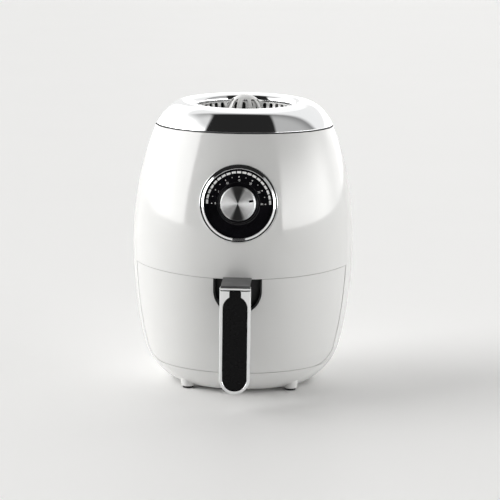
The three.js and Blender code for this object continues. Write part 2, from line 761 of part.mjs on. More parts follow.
function pan() {
  return turned([
    [0, PAN_FLOOR_Z], [PAN_FLOOR_R, PAN_FLOOR_Z], [PAN_FLOOR_R + 3.5, PAN_FLOOR_Z + 3],
    [PAN_TOP_R, PAN_TOP_Z - 1.2], [PAN_RIM_R, PAN_TOP_Z - 1.2], [PAN_RIM_R, PAN_TOP_Z],
    [PAN_TOP_R - 1.2, PAN_TOP_Z], [PAN_FLOOR_R + 2.3, PAN_FLOOR_Z + 3.7],
    [PAN_FLOOR_R - 0.6, PAN_FLOOR_Z + 1.2], [0, PAN_FLOOR_Z + 1.2],
  ]);
}

function basket() {
  const sheet = 1.1;
  const wallTopR = BASKET_TOP_R - 1.6;
  const shell = turned([
    [0, BASKET_FLOOR_Z], [74, BASKET_FLOOR_Z], [77.5, BASKET_FLOOR_Z + 3],
    [wallTopR, BASKET_TOP_Z - sheet], [BASKET_TOP_R, BASKET_TOP_Z - sheet], [BASKET_TOP_R, BASKET_TOP_Z],
    [wallTopR - sheet, BASKET_TOP_Z], [76.4, BASKET_FLOOR_Z + 3.6], [73.6, BASKET_FLOOR_Z + sheet],
    [0, BASKET_FLOOR_Z + sheet],
  ]);
  const innerSlot = block([14, -2, 30], [32, 2, 50]);
  const outerSlot = block([40, -2, 30], [68, 2, 50]);
  const wallSlot = block([70, -2, BASKET_FLOOR_Z + 10], [100, 2, BASKET_FLOOR_Z + 30]);
  return shell
    .subtract(around(innerSlot, 8))
    .subtract(around(outerSlot, 12))
    .subtract(around(wallSlot, ROUND / 2, 180 / ROUND));
}

const STRAP_Z = ARM_TOP_Z + 0.4;
const STRAP_SHEET = 1.5;
const LATCH_Y = -104.3;
const LATCH_Z = 125;

function basketBracket() {
  const top = STRAP_Z + STRAP_SHEET;
  const strap = sided(outlineOf([
    [-128, STRAP_Z], [-83.4, STRAP_Z], [-83.4, 118], [-81.9, 118], [-81.9, top], [-128, top],
  ]), 24);
  const ear = sided(outlineOf([
    [-109, STRAP_Z + 0.5], [-109, LATCH_Z - 3.5], [-100, LATCH_Z - 3.5], [-100, STRAP_Z + 0.5],
  ]), 1.5);
  const pinHole = post(1.9, -15, 15, 12).rotate([0, 90, 0]).translate([0, LATCH_Y, LATCH_Z]);
  return strap.add(ear.translate([-8.5, 0, 0])).add(ear.translate([8.5, 0, 0])).subtract(pinHole);
}

function latchPin() {
  return post(1.6, -10.5, 10.5, 12).rotate([0, 90, 0]).translate([0, LATCH_Y, LATCH_Z]);
}

function latchLever() {
  const lever = sided(outlineOf([
    [-107.5, LATCH_Z + 3.5], [-107.5, 110], [-109, 107], [-109, 104], [-103, 104], [-101.5, 112],
    [-101, LATCH_Z + 3.5],
  ]), 12);
  return lever.subtract(post(1.9, -15, 15, 12).rotate([0, 90, 0]).translate([0, LATCH_Y, LATCH_Z]));
}

// ---------------------------------------------------------------- handle

function insertOutline(gap) {
  const halfWidth = HANDLE_HALF_WIDTH - HANDLE_BORDER - gap;
  const low = HANDLE_BOTTOM_Z + HANDLE_BORDER + gap;
  const high = 127 - gap;
  const neck = NECK_HALF_WIDTH - gap;
  const crownCentre = high - halfWidth;
  const neckAngle = Math.acos(neck / halfWidth);
  const outline = new THREE.Shape();
  outline.absarc(0, low + halfWidth, halfWidth, Math.PI, 2 * Math.PI, false);
  outline.absarc(0, crownCentre, halfWidth, 0, neckAngle, false);
  outline.lineTo(neck, HANDLE_TOP_Z + (gap ? 0 : 5));
  outline.lineTo(-neck, HANDLE_TOP_Z + (gap ? 0 : 5));
  outline.absarc(0, crownCentre, halfWidth, Math.PI - neckAngle, Math.PI, false);
  outline.closePath();
  return outline;
}

function handleFrame() {
  const outside = fronted(
    roundBottomed(HANDLE_HALF_WIDTH, HANDLE_BOTTOM_Z, HANDLE_TOP_Z), HANDLE_FRONT_Y, HANDLE_SPLIT_Y, 8);
  return outside.subtract(fronted(insertOutline(0), HANDLE_FRONT_Y - 5, HANDLE_SPLIT_Y + 5, 8));
}

function gripInsert() {
  return fronted(insertOutline(GAP), HANDLE_FRONT_Y + 0.5, HANDLE_SPLIT_Y, 8);
}

const HANDLE_SCREW_HEIGHTS = [42, 96];
const POCKET_FRONT_Y = -139.3;
const POCKET_BACK_Y = -128.2;
const POCKET_FLOOR_Z = 110;

function handleCore() {
  const outline = roundBottomed(HANDLE_HALF_WIDTH - 1, HANDLE_BOTTOM_Z + 1, HANDLE_TOP_Z);
  const slab = fronted(outline, HANDLE_SPLIT_Y + GAP, HANDLE_BACK_Y, 8);
  const armEndY = -bodyRadius(ARM_TOP_Z) + RECESS_DEPTH - 0.8;
  const arm = block([-ARM_HALF_WIDTH, HANDLE_BACK_Y - 1, 107], [ARM_HALF_WIDTH, armEndY, ARM_TOP_Z]);
  const pocket = block([-6.3, POCKET_FRONT_Y, POCKET_FLOOR_Z], [6.3, POCKET_BACK_Y, 150]);
  let shape = slab.add(arm).subtract(pocket);
  for (const z of HANDLE_SCREW_HEIGHTS) {
    const hole = post(4, 0, 3, 12).add(post(2.1, 0, 20, 12));
    shape = shape.subtract(hole.rotate([90, 0, 0]).translate([0, HANDLE_BACK_Y, z]));
  }
  return shape;
}

function handleScrew(z) {
  return screw(3.6, 1.8, 2, 9).rotate([90, 0, 0]).translate([0, HANDLE_BACK_Y - 0.5, z]);
}

function buttonGuard() {
  const back = GUARD_BACK_Y;
  const thick = 1.8;
  const profile = outlineOf([
    [HANDLE_FRONT_Y, GUARD_FRONT_TOP_Z - thick], [back, GUARD_BACK_TOP_Z - thick], [back, GUARD_BACK_TOP_Z],
    [HANDLE_FRONT_Y + 1.2, GUARD_FRONT_TOP_Z], [HANDLE_FRONT_Y, GUARD_FRONT_TOP_Z - 0.7],
  ]);
  return sided(profile, 31);
}

const BUTTON_FOOT_Z = 126;

function releaseButton() {
  const body = block([-6, -139, BUTTON_FOOT_Z], [6, -128.5, 134.2]);
  return body.add(block([-4.6, -137.6, 134], [4.6, -129.9, 135]));
}

function buttonSpring() {
  const low = POCKET_FLOOR_Z + GAP + 0.6;
  const high = BUTTON_FOOT_Z - GAP - 0.6;
  const turns = 5;
  const coilR = 3.4;
  const points = spread(0, turns, turns * 8 + 1).map((turn) => {
    const place = polar(coilR, 360 * turn, low + ((high - low) * turn) / turns);
    return place.add(new THREE.Vector3(0, (POCKET_FRONT_Y + POCKET_BACK_Y) / 2, 0));
  });
  const section = new THREE.Shape();
  section.absarc(0, 0, 0.55, 0, 2 * Math.PI, false);
  const path = new THREE.CatmullRomCurve3(points, false, 'centripetal');
  const settings = { steps: turns * 8, extrudePath: path, curveSegments: 2, bevelEnabled: false };
  return solid(new THREE.ExtrudeGeometry(section, settings));
}

// ---------------------------------------------------------------- assembly

const fryer = new THREE.Group();
// the handle reaches further forward than the round body reaches back
fryer.position.y = -(HANDLE_FRONT_Y + WIDEST_R) / 2;

const housing = new THREE.Group();
fryer.add(housing);
piece(housing, 'base_pan', basePan(), WHITE);
piece(housing, 'outer_shell', outerShell(), WHITE);
lean(piece(housing, 'crown_ring', crownRing(), CHROME));
lean(piece(housing, 'top_frame', topFrame(), BLACK));
lean(piece(housing, 'top_grille', topGrille(), WHITE));
piece(housing, 'grille_dome', grilleDome(), WHITE);
piece(housing, 'vent_guard', ventGuard(), BLACK);
piece(housing, 'intake_duct', ring(57, 59, 254, 285.7, 24), BLACK);
piece(housing, 'cavity_liner', cavityLiner(), STEEL);
piece(housing, 'opening_frame', openingFrame(), GREY);
piece(housing, 'chamber_deck', chamberDeck(), STEEL);
piece(housing, 'heat_reflector', heatReflector(), STEEL);
piece(housing, 'heating_element', heatingElement(), STEEL);
piece(housing, 'motor_bracket', motorBracket(), STEEL);
piece(housing, 'fan_motor', fanMotor(), STEEL);
piece(housing, 'thermostat', post(8, REFLECTOR_TOP_Z + GAP, 190).translate([0, 58, 0]), BLACK);
piece(housing, 'rear_exhaust_grille', rearExhaustGrille(), WHITE);
piece(housing, 'exhaust_duct', exhaustDuct(), BLACK);
piece(housing, 'cord_gland', cordGland(), BLACK);

const thermalFuse = piece(housing, 'thermal_fuse', post(2.4, -9, 9, 12), WHITE);
thermalFuse.rotation.y = Math.PI / 2;
thermalFuse.position.set(55, -8, BRACKET_Z + 1.6 + 2.4 + GAP);

const interlock = piece(housing, 'interlock_switch', block([-10, -3.5, -5], [10, 3.5, 5]), BLACK);
interlock.position.copy(polar(104, -125, DECK_Z + 3.6 + 5));
interlock.rotation.z = THREE.MathUtils.degToRad(-125 + 90);

for (const side of [-1, 1]) {
  const name = side < 0 ? 'pan_guide_left' : 'pan_guide_right';
  const bar = block([93.2, LINER_FRONT_Y + 1, 127.4], [95.5, 8, PAN_TOP_Z - 1.2 - GAP]);
  piece(housing, name, side < 0 ? bar.mirror([1, 0, 0]) : bar, STEEL);
}

[[-1, -1], [1, -1], [-1, 1], [1, 1]].forEach(([sideX, sideY], i) => {
  const pad = piece(housing, `foot_pad_${i + 1}`, post(PAD_R, 0, PAD_HEIGHT), RUBBER);
  pad.position.set(sideX * FOOT_X, sideY * FOOT_Y, 0);
});

baseScrewPlaces().forEach((place, i) => {
  const fastener = piece(housing, `base_screw_${i + 1}`, screw(4, 2, 1.2, 13), STEEL);
  fastener.position.set(place.x, place.y, BASE_Z + 0.2);
});

[80, 200, 305].forEach((degrees, i) => {
  const clip = piece(housing, `element_clip_${i + 1}`, elementClip(), STEEL);
  clip.rotation.z = THREE.MathUtils.degToRad(degrees);
});

const timer = new THREE.Group();
timer.position.copy(DIAL_PLACE);
timer.rotation.x = Math.PI / 2 - DIAL_TILT;
housing.add(timer);
piece(timer, 'dial_bezel', dialBezel(), CHROME);
piece(timer, 'dial_plate', dialPlate(), BLACK);
piece(timer, 'dial_carrier', dialCarrier(), BLACK);
piece(timer, 'timer_unit', timerUnit(), STEEL);
piece(timer, 'timer_shaft', timerShaft(), STEEL);
piece(timer, 'timer_knob', timerKnob(), STEEL);

const rotor = new THREE.Group();
fryer.add(rotor);
piece(rotor, 'motor_shaft', post(SHAFT_R, 158, 252), STEEL);
piece(rotor, 'hot_air_fan', hotAirFan(), STEEL);
piece(rotor, 'fan_nut', fanNut(), STEEL);
piece(rotor, 'cooling_fan', coolingFan(), BLACK);

const drawer = new THREE.Group();
fryer.add(drawer);
piece(drawer, 'drawer_front', drawerFront(), WHITE);
piece(drawer, 'handle_recess', handleRecess(), BLACK);
piece(drawer, 'drawer_ledge', drawerLedge(), BLACK);
piece(drawer, 'pan', pan(), COATED);
piece(drawer, 'basket', basket(), COATED);
piece(drawer, 'basket_bracket', basketBracket(), STEEL);
piece(drawer, 'latch_pin', latchPin(), STEEL);
piece(drawer, 'latch_lever', latchLever(), BLACK);
piece(drawer, 'handle_frame', handleFrame(), CHROME);
piece(drawer, 'grip_insert', gripInsert(), BLACK);
piece(drawer, 'handle_core', handleCore(), BLACK);
piece(drawer, 'handle_screw_1', handleScrew(HANDLE_SCREW_HEIGHTS[0]), STEEL);
piece(drawer, 'handle_screw_2', handleScrew(HANDLE_SCREW_HEIGHTS[1]), STEEL);
piece(drawer, 'button_guard', buttonGuard(), SMOKE);
piece(drawer, 'release_button', releaseButton(), BLACK);
piece(drawer, 'button_spring', buttonSpring(), STEEL);

export default fryer;
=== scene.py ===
"""The looks of a compact round air fryer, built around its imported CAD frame. Pieces are drawn in
millimetres around the axis of the round body and stored in metres in the frame's coordinates."""
import json
import math

import bpy
import numpy as np
from mathutils import Matrix, Vector, geometry


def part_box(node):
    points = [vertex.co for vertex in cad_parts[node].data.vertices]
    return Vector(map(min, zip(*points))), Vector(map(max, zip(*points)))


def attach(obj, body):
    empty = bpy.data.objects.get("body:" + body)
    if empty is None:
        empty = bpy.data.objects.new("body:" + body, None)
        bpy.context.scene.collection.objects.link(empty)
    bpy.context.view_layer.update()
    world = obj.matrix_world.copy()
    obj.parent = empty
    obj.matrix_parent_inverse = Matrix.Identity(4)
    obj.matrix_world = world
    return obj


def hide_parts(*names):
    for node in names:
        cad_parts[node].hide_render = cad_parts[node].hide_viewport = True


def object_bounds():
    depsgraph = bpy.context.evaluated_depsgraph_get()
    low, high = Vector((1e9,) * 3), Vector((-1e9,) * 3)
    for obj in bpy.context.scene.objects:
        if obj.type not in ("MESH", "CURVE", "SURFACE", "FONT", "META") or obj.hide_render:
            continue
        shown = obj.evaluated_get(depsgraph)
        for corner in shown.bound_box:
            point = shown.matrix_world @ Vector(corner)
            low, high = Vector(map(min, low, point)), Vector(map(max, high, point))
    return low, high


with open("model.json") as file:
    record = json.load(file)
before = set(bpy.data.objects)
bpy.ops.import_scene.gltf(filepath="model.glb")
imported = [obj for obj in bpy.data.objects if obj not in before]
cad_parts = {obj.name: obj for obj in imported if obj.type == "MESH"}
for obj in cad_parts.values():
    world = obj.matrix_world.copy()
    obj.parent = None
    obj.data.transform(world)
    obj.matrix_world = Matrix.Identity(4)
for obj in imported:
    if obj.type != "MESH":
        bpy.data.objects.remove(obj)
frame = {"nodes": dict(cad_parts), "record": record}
CAD_LOW, CAD_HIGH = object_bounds()
NODES = frame["nodes"]
JOINTS = {joint["name"]: joint for joint in frame["record"]["behaviour"]["joints"]}

# ------------------------------------------------------------------ sizes, in millimetres

MM = 0.001


def low(node):
    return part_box(node)[0] / MM


def high(node):
    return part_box(node)[1] / MM


def middle(node):
    return (low(node) + high(node)) / 2


AXIS_Y = middle("crown_ring").y  # the round body's own axis, in the frame
GAP = 0.3

# body outline: two half ellipses and a rounded lower corner
WIDEST_R = (CAD_HIGH.x - CAD_LOW.x) / MM / 2
WIDEST_Z = 158.3
UPPER_SEMI_HEIGHT = 223.9
LOWER_SEMI_HEIGHT = 249.3
CORNER_TOP_Z = 44.4
CORNER_R = 65.5
BASE_Z = 4.4
BASE_SEAM_Z = 28
CROWN_SEAM_Z = high("outer_shell").z
SHELL_WALL = 2.8
PANEL_WALL = 3

SEAM_Z = 137
SEAM_RISE = 4
PANEL_HALF_ANGLE = math.radians(70)
PANEL_CORNER = 16
PANEL_GAP = 0.4

CROWN_SHEET = 2.7
SHOULDER_R = 93.3
SHOULDER_Z = 305.3
CREST_R = 68
CREST_Z = 318.6
RIM_R = 56
RIM_Z = 312.8
LEAN = 0.036  # how far the crown's top sinks towards the front, for each mm from the axis

DIAL = JOINTS["timer_turn"]
DIAL_TILT = math.asin(DIAL["axis"][2])
BEZEL_OUTER_R = 42.3
BEZEL_INNER_R = 37.5
KNOB_R = 18.75
KNOB_FRONT = 19
PLATE_FACE = 0.6
DASH_RING_R = 34
DOT_RING_R = 29
NUMERAL_RING_R = 25.2
SCALE_END = 90  # degrees from the top of the dial to each end of its scale
POINTER_REST = 79

HANDLE_FRONT_Y = low("handle_frame").y - AXIS_Y
HANDLE_SPLIT_Y = HANDLE_FRONT_Y + 10
HANDLE_BACK_Y = HANDLE_FRONT_Y + 20
HANDLE_HALF_WIDTH = high("handle_frame").x
HANDLE_BOTTOM_Z = low("handle_frame").z
HANDLE_TOP_Z = high("handle_frame").z
HANDLE_BORDER = 3.4
NECK_HALF_WIDTH = 6
RECESS_HALF_WIDTH = 26.5
RECESS_CENTRE_Z = 123.5
RECESS_DEPTH = 9.5
GUARD_FRONT_TOP_Z = 138.2
STRAP_TOP_Z = 132.2  # top of the arm that ties the handle to the panel
GRIP_CREST_Z = 127
BUTTON_FRONT_Y = -139
BUTTON_BACK_Y = -128.5
LINER_FLOOR_Z = 30
TRAY_GAP = 0.25

VENT_Z = middle("rear_exhaust_grille").z
GLAND_Z = middle("cord_gland").z
BACKWARDS = -math.pi / 2  # turns a piece drawn along Z towards the back
FORWARDS = math.pi / 2

SMOOTH = 192  # segments around the large turned pieces
FAR = 150  # past every surface, for the ends of cutters
NEAR = 60  # inside the body's wall, for cutters that stop there


def ellipse_radius(z):
    semi_height = UPPER_SEMI_HEIGHT if z > WIDEST_Z else LOWER_SEMI_HEIGHT
    return WIDEST_R * math.sqrt(1 - ((z - WIDEST_Z) / semi_height) ** 2)


def corner_arc():
    """Centre of the lower corner's arc, which leaves the lower ellipse along its tangent."""
    start = ellipse_radius(CORNER_TOP_Z)
    slope = WIDEST_R**2 * (WIDEST_Z - CORNER_TOP_Z) / (LOWER_SEMI_HEIGHT**2 * start)
    normal = math.hypot(1, slope)
    return start - CORNER_R / normal, CORNER_TOP_Z + CORNER_R * slope / normal


CORNER_CENTRE_R, CORNER_CENTRE_Z = corner_arc()


def body_radius(z):
    if z >= CORNER_TOP_Z:
        return ellipse_radius(z)
    return CORNER_CENTRE_R + math.sqrt(CORNER_R**2 - (CORNER_CENTRE_Z - z) ** 2)


# ------------------------------------------------------------------ mesh helpers


def spread(first, last, count):
    return [first + (last - first) * i / (count - 1) for i in range(count)]


def place(name, data):
    """A new object in the scene from a mesh, a curve or a camera."""
    made = bpy.data.objects.new(name, data)
    bpy.context.scene.collection.objects.link(made)
    return made


def new_object(name, vertices, faces):
    """A mesh object from vertices in millimetres around the body axis."""
    mesh = bpy.data.meshes.new(name)
    mesh.from_pydata([(x * MM, (y + AXIS_Y) * MM, z * MM) for x, y, z in vertices], [], faces)
    mesh.validate()
    return place(name, mesh)


def ring_links(lower, upper, count):
    """Faces between two rows of count vertices that start at these indices."""
    return [[lower + k, lower + (k + 1) % count, upper + (k + 1) % count, upper + k] for k in range(count)]


def shade(made, degrees=35):
    """Smooth shading with sharp edges where faces meet at a larger angle."""
    mesh = made.data
    mesh.polygons.foreach_set("use_smooth", [True] * len(mesh.polygons))
    mesh.set_sharp_from_angle(angle=math.radians(degrees))
    return made


def turned_mesh(profile, segments=SMOOTH):
    """Vertices and faces of a solid turned around Z from (radius, height) points, going up outside."""
    reaches_axis = profile[0][0] == 0 and profile[-1][0] == 0
    vertices = []
    rows = []
    for radius, z in profile:
        if radius == 0:
            rows.append([len(vertices)] * segments)
            vertices.append((0, 0, z))
            continue
        rows.append(list(range(len(vertices), len(vertices) + segments)))
        for k in range(segments):
            angle = 2 * math.pi * k / segments
            vertices.append((radius * math.sin(angle), -radius * math.cos(angle), z))
    faces = []
    pairs = list(zip(rows, rows[1:]))
    if not reaches_axis:
        pairs.append((rows[-1], rows[0]))
    for lower, upper in pairs:
        for k in range(segments):
            n = (k + 1) % segments
            corners = [lower[k], lower[n], upper[n], upper[k]]
            unique = list(dict.fromkeys(corners))
            if len(unique) > 2:
                faces.append(unique)
    return vertices, faces


def turned(name, profile, segments=SMOOTH):
    return shade(new_object(name, *turned_mesh(profile, segments)))


def curve_point(start, corner, end, t):
    """A point on the curve that leaves start towards a corner and arrives at end."""
    return Vector(start) * (1 - t) ** 2 + Vector(corner) * 2 * t * (1 - t) + Vector(end) * t**2


def rounded(points, radii, steps=5, closed=True):
    """The polyline with its corners rounded; radii is one number or one per point."""
    count = len(points)
    if not isinstance(radii, (list, tuple)):
        radii = [radii] * count
    out = []
    for i, (here, radius) in enumerate(zip(points, radii)):
        at_end = not closed and i in (0, count - 1)
        if radius <= 0 or at_end:
            out.append(tuple(here))
            continue
        before = Vector(points[i - 1]) - Vector(here)
        after = Vector(points[(i + 1) % count]) - Vector(here)
        half = before.angle(after) / 2
        reach = min(radius / math.tan(half), before.length * 0.49, after.length * 0.49)
        start = Vector(here) + before.normalized() * reach
        end = Vector(here) + after.normalized() * reach
        out += [tuple(curve_point(start, here, end, t)) for t in spread(0, 1, steps + 1)]
    return out


def box_outline(half_width, floor, top):
    """A rectangle centred on the first axis, anticlockwise."""
    return [(-half_width, floor), (half_width, floor), (half_width, top), (-half_width, top)]


def arc(centre, radius, start, end, count):
    """Points on a circle, angles in degrees."""
    angles = [math.radians(a) for a in spread(start, end, count)]
    return [(centre[0] + radius * math.cos(a), centre[1] + radius * math.sin(a)) for a in angles]


def bezier(a, b, c, d, count):
    """Points along a cubic curve."""
    points = geometry.interpolate_bezier(Vector(a), Vector(b), Vector(c), Vector(d), count)
    return [(p.x, p.y) for p in points]


def inset_outline(outline, distance):
    """A closed anticlockwise outline moved inwards."""
    points = np.array(outline, float)
    forward = np.roll(points, -1, 0) - points
    forward /= np.linalg.norm(forward, axis=1)[:, None]
    inward = np.stack([-forward[:, 1], forward[:, 0]], 1)
    corner = inward + np.roll(inward, 1, 0)
    corner /= np.maximum(np.sum(corner * inward, 1), 0.3)[:, None]
    return points + corner * distance


def slab_mesh(outline, start, end, edge=0.0, steps=4):
    """Vertices and faces of an outline raised from start to end, with rounded edges."""
    count = len(outline)
    if edge:
        turns = [math.radians(a) for a in spread(0, 90, steps + 1)]
        levels = [(start + edge * (1 - math.sin(t)), edge * (1 - math.cos(t))) for t in reversed(turns)]
        levels += [(end - edge * (1 - math.sin(t)), edge * (1 - math.cos(t))) for t in turns]
    else:
        levels = [(start, 0.0), (end, 0.0)]
    vertices = []
    for height, inset in levels:
        loop = inset_outline(outline, inset) if inset else np.array(outline, float)
        vertices += [(a, b, height) for a, b in loop]
    last = len(vertices) - count
    faces = [list(reversed(range(count)))]
    for level in range(0, last, count):
        faces += ring_links(level, level + count, count)
    faces.append(list(range(last, len(vertices))))
    return vertices, faces


def raised(name, outline, start, end, edge=0.0):
    """A slab with its outline in plan view."""
    return shade(new_object(name, *slab_mesh(outline, start, end, edge)))


def fronted(name, outline, front, back, edge=0.0, steps=4):
    """A slab with its outline in front view (x, z), between two values of y."""
    vertices, faces = slab_mesh(outline, -back, -front, edge, steps)
    return shade(new_object(name, [(x, -depth, z) for x, z, depth in vertices], faces))


def sided(name, outline, half_width, edge=0.0, steps=4):
    """A slab with its outline in side view (y, z), centred on x = 0."""
    vertices, faces = slab_mesh(outline, -half_width, half_width, edge, steps)
    return shade(new_object(name, [(x, y, z) for y, z, x in vertices], faces))


def carve(made, cutters, operation="DIFFERENCE"):
    """Cuts, joins or intersects with temporary objects, which are then removed."""
    for cutter in cutters:
        boolean = made.modifiers.new("cut", "BOOLEAN")
        boolean.operation = operation
        boolean.solver = "EXACT"
        boolean.object = cutter
    view = bpy.context.evaluated_depsgraph_get()
    mesh = bpy.data.meshes.new_from_object(made.evaluated_get(view))
    made.modifiers.clear()
    made.data = mesh
    for cutter in cutters:
        bpy.data.objects.remove(cutter)
    return shade(made)


def gather(name, copies):
    """One object from (mesh, placement) pairs."""
    vertices = []
    faces = []
    for mesh, placement in copies:
        start = len(vertices)
        vertices += [placement @ v.co for v in mesh.vertices]
        faces += [[start + i for i in p.vertices] for p in mesh.polygons]
    whole = bpy.data.meshes.new(name)
    whole.from_pydata(vertices, [], faces)
    return place(name, whole)


def join(name, parts):
    """One object from several, which are then removed."""
    made = gather(name, [(part.data, part.matrix_world) for part in parts])
    for part in parts:
        bpy.data.objects.remove(part)
    return shade(made)


def around(first, count, start=0.0):
    """Copies of one cutter, turned around the body axis and joined into a single object."""
    centre = Matrix.Translation((0, AXIS_Y * MM, 0))
    copies = []
    for i in range(count):
        turn = Matrix.Rotation(math.radians(start) + 2 * math.pi * i / count, 4, "Z")
        copies.append((first.data, centre @ turn @ centre.inverted()))
    made = gather("cut", copies)
    bpy.data.objects.remove(first)
    return made


def laid(made, turn, y=0.0, z=0.0):
    """Turns a piece drawn along Z by an angle about X, and puts its foot at y and z."""
    made.data.transform(Matrix.Translation((0, -AXIS_Y * MM, 0)))
    made.data.transform(Matrix.Translation((0, (AXIS_Y + y) * MM, z * MM)) @ Matrix.Rotation(turn, 4, "X"))
    return made


def true_normals(made, depth=0.0):
    """Gives the body's outer surface its exact normals, so that cuts leave no mark in its gloss."""
    mesh = made.data
    step = 0.01
    points = np.array([v.co for v in mesh.vertices], float) / MM
    points[:, 1] -= AXIS_Y
    radius = np.hypot(points[:, 0], points[:, 1])
    normals = {}
    for i, (r, z) in enumerate(zip(radius, points[:, 2])):
        if not BASE_Z < z < CROWN_SEAM_Z + 1 or r < 1:
            continue
        tolerance = 0.02 + 0.0008 * r
        if abs(body_radius(z) - depth - r) < tolerance:
            slope = (body_radius(z + step) - body_radius(z - step)) / (2 * step)
            length = math.hypot(1, slope)
            normals[i] = Vector((points[i, 0] / r, points[i, 1] / r, -slope)) / length
    loops = [(0.0, 0.0, 0.0)] * len(mesh.loops)
    for face in mesh.polygons:
        for index in face.loop_indices:
            normal = normals.get(mesh.loops[index].vertex_index)
            if normal is not None and normal.dot(face.normal) > 0.9:
                loops[index] = tuple(normal)
    mesh.normals_split_custom_set(loops)
    return made


def keep(made, body, slot, look, *nodes):
    """Puts a finished piece in the model: its finish, its body and the CAD nodes it stands for."""
    made.data.materials.clear()
    made.data.materials.append(look)
    if not made.data.has_custom_normals:
        # flat faces stay flat in the gloss beside their rounded edges
        weighted = made.modifiers.new("flat_faces", "WEIGHTED_NORMAL")
        weighted.keep_sharp = True
    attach(made, body)
    if nodes:
        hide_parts(*nodes)


# ------------------------------------------------------------------ shader node helpers


def calculate(tree, operation, *values):
    """The output of one maths node that is fed by numbers or by other nodes' outputs."""
    node = tree.nodes.new("ShaderNodeMath")
    node.operation = operation
    for socket, value in zip(node.inputs, values):
        if isinstance(value, (int, float)):
            socket.default_value = value
        else:
            tree.links.new(value, socket)
    return node.outputs[0]


def ramp(tree, value, start, end, first, last, kind="SMOOTHSTEP"):
    """Goes from first to last while the value goes from start to end, and stays there on both sides."""
    node = tree.nodes.new("ShaderNodeMapRange")
    node.interpolation_type = kind
    for name, number in (("From Min", start), ("From Max", end), ("To Min", first), ("To Max", last)):
        node.inputs[name].default_value = number
    tree.links.new(value, node.inputs["Value"])
    return node.outputs["Result"]


# ------------------------------------------------------------------ materials


class Look:
    """A Principled material with a few shorthand ways to add procedural detail."""

    def __init__(self, name, color, roughness, metallic=0.0):
        self.material = bpy.data.materials.new(name)
        self.material.use_nodes = True
        self.tree = self.material.node_tree
        self.shader = self.tree.nodes["Principled BSDF"]
        self.set("Base Color", (*color, 1.0))
        self.set("Roughness", roughness)
        self.set("Metallic", metallic)
        self.coordinates = self.tree.nodes.new("ShaderNodeTexCoord").outputs["Object"]

    def set(self, socket, value):
        self.shader.inputs[socket].default_value = value

    def noise(self, scale, detail=2.0, stretch=(1, 1, 1)):
        mapping = self.tree.nodes.new("ShaderNodeMapping")
        mapping.inputs["Scale"].default_value = stretch
        self.tree.links.new(self.coordinates, mapping.inputs["Vector"])
        texture = self.tree.nodes.new("ShaderNodeTexNoise")
        texture.inputs["Scale"].default_value = scale
        texture.inputs["Detail"].default_value = detail
        self.tree.links.new(mapping.outputs["Vector"], texture.inputs["Vector"])
        return texture.outputs["Fac"]

    def between(self, value, lowest, highest):
        """Spreads a noise, which stays mostly between 0.3 and 0.7, over a range."""
        return ramp(self.tree, value, 0.3, 0.7, lowest, highest, "LINEAR")

    def vary_roughness(self, scale, lowest, highest, stretch=(1, 1, 1)):
        value = self.between(self.noise(scale, 4.0, stretch), lowest, highest)
        self.tree.links.new(value, self.shader.inputs["Roughness"])

    def mix_colors(self, share, first, second):
        mix = self.tree.nodes.new("ShaderNodeMix")
        mix.data_type = "RGBA"
        mix.inputs["A"].default_value = (*first, 1.0)
        mix.inputs["B"].default_value = (*second, 1.0)
        self.tree.links.new(share, mix.inputs["Factor"])
        self.tree.links.new(mix.outputs["Result"], self.shader.inputs["Base Color"])

    def vary_color(self, scale, first, second):
        self.mix_colors(self.between(self.noise(scale, 3.0), 0.0, 1.0), first, second)

    def bump(self, scale, strength, distance, detail=2.0, stretch=(1, 1, 1)):
        node = self.tree.nodes.new("ShaderNodeBump")
        node.inputs["Strength"].default_value = strength
        node.inputs["Distance"].default_value = distance
        self.tree.links.new(self.noise(scale, detail, stretch), node.inputs["Height"])
        self.tree.links.new(node.outputs["Normal"], self.shader.inputs["Normal"])


def white_gloss():
    look = Look("white_gloss", (0.72, 0.72, 0.712), 0.1)
    look.vary_color(9, (0.712, 0.712, 0.704), (0.73, 0.73, 0.722))
    look.vary_roughness(40, 0.08, 0.13)
    look.bump(260, 0.03, 0.0001, 1.0)
    look.set("Coat Weight", 0.3)
    look.set("Coat Roughness", 0.03)
    return look.material


def chrome():
    look = Look("chrome", (0.88, 0.89, 0.9), 0.05, 1.0)
    look.vary_roughness(60, 0.03, 0.07)
    look.vary_color(14, (0.87, 0.88, 0.89), (0.9, 0.905, 0.91))
    return look.material


def satin_black():
    look = Look("satin_black", (0.003, 0.003, 0.0034), 0.3)
    look.vary_color(60, (0.0026, 0.0026, 0.003), (0.0038, 0.0038, 0.0042))
    look.vary_roughness(120, 0.24, 0.3)
    look.set("Specular IOR Level", 0.12)
    look.bump(2600, 0.04, 0.0001, 2.0)
    return look.material


def grained_black():
    look = Look("grained_black", (0.009, 0.009, 0.01), 0.42)
    look.vary_color(40, (0.007, 0.007, 0.008), (0.013, 0.013, 0.014))
    look.vary_roughness(90, 0.36, 0.48)
    look.set("Specular IOR Level", 0.4)
    look.bump(1500, 0.3, 0.0002, 4.0)
    return look.material


def dial_black():
    look = Look("dial_black", (0.004, 0.004, 0.005), 0.08)
    look.vary_roughness(150, 0.06, 0.11)
    look.vary_color(50, (0.003, 0.003, 0.004), (0.006, 0.0055, 0.0075))
    look.bump(1200, 0.02, 0.00005)
    return look.material


def smoked():
    look = Look("smoked_plastic", (0.09, 0.09, 0.092), 0.34)
    look.vary_color(30, (0.08, 0.08, 0.082), (0.105, 0.105, 0.107))
    look.vary_roughness(80, 0.3, 0.38)
    look.set("Specular IOR Level", 0.3)
    look.bump(250, 0.01, 0.0001)
    return look.material


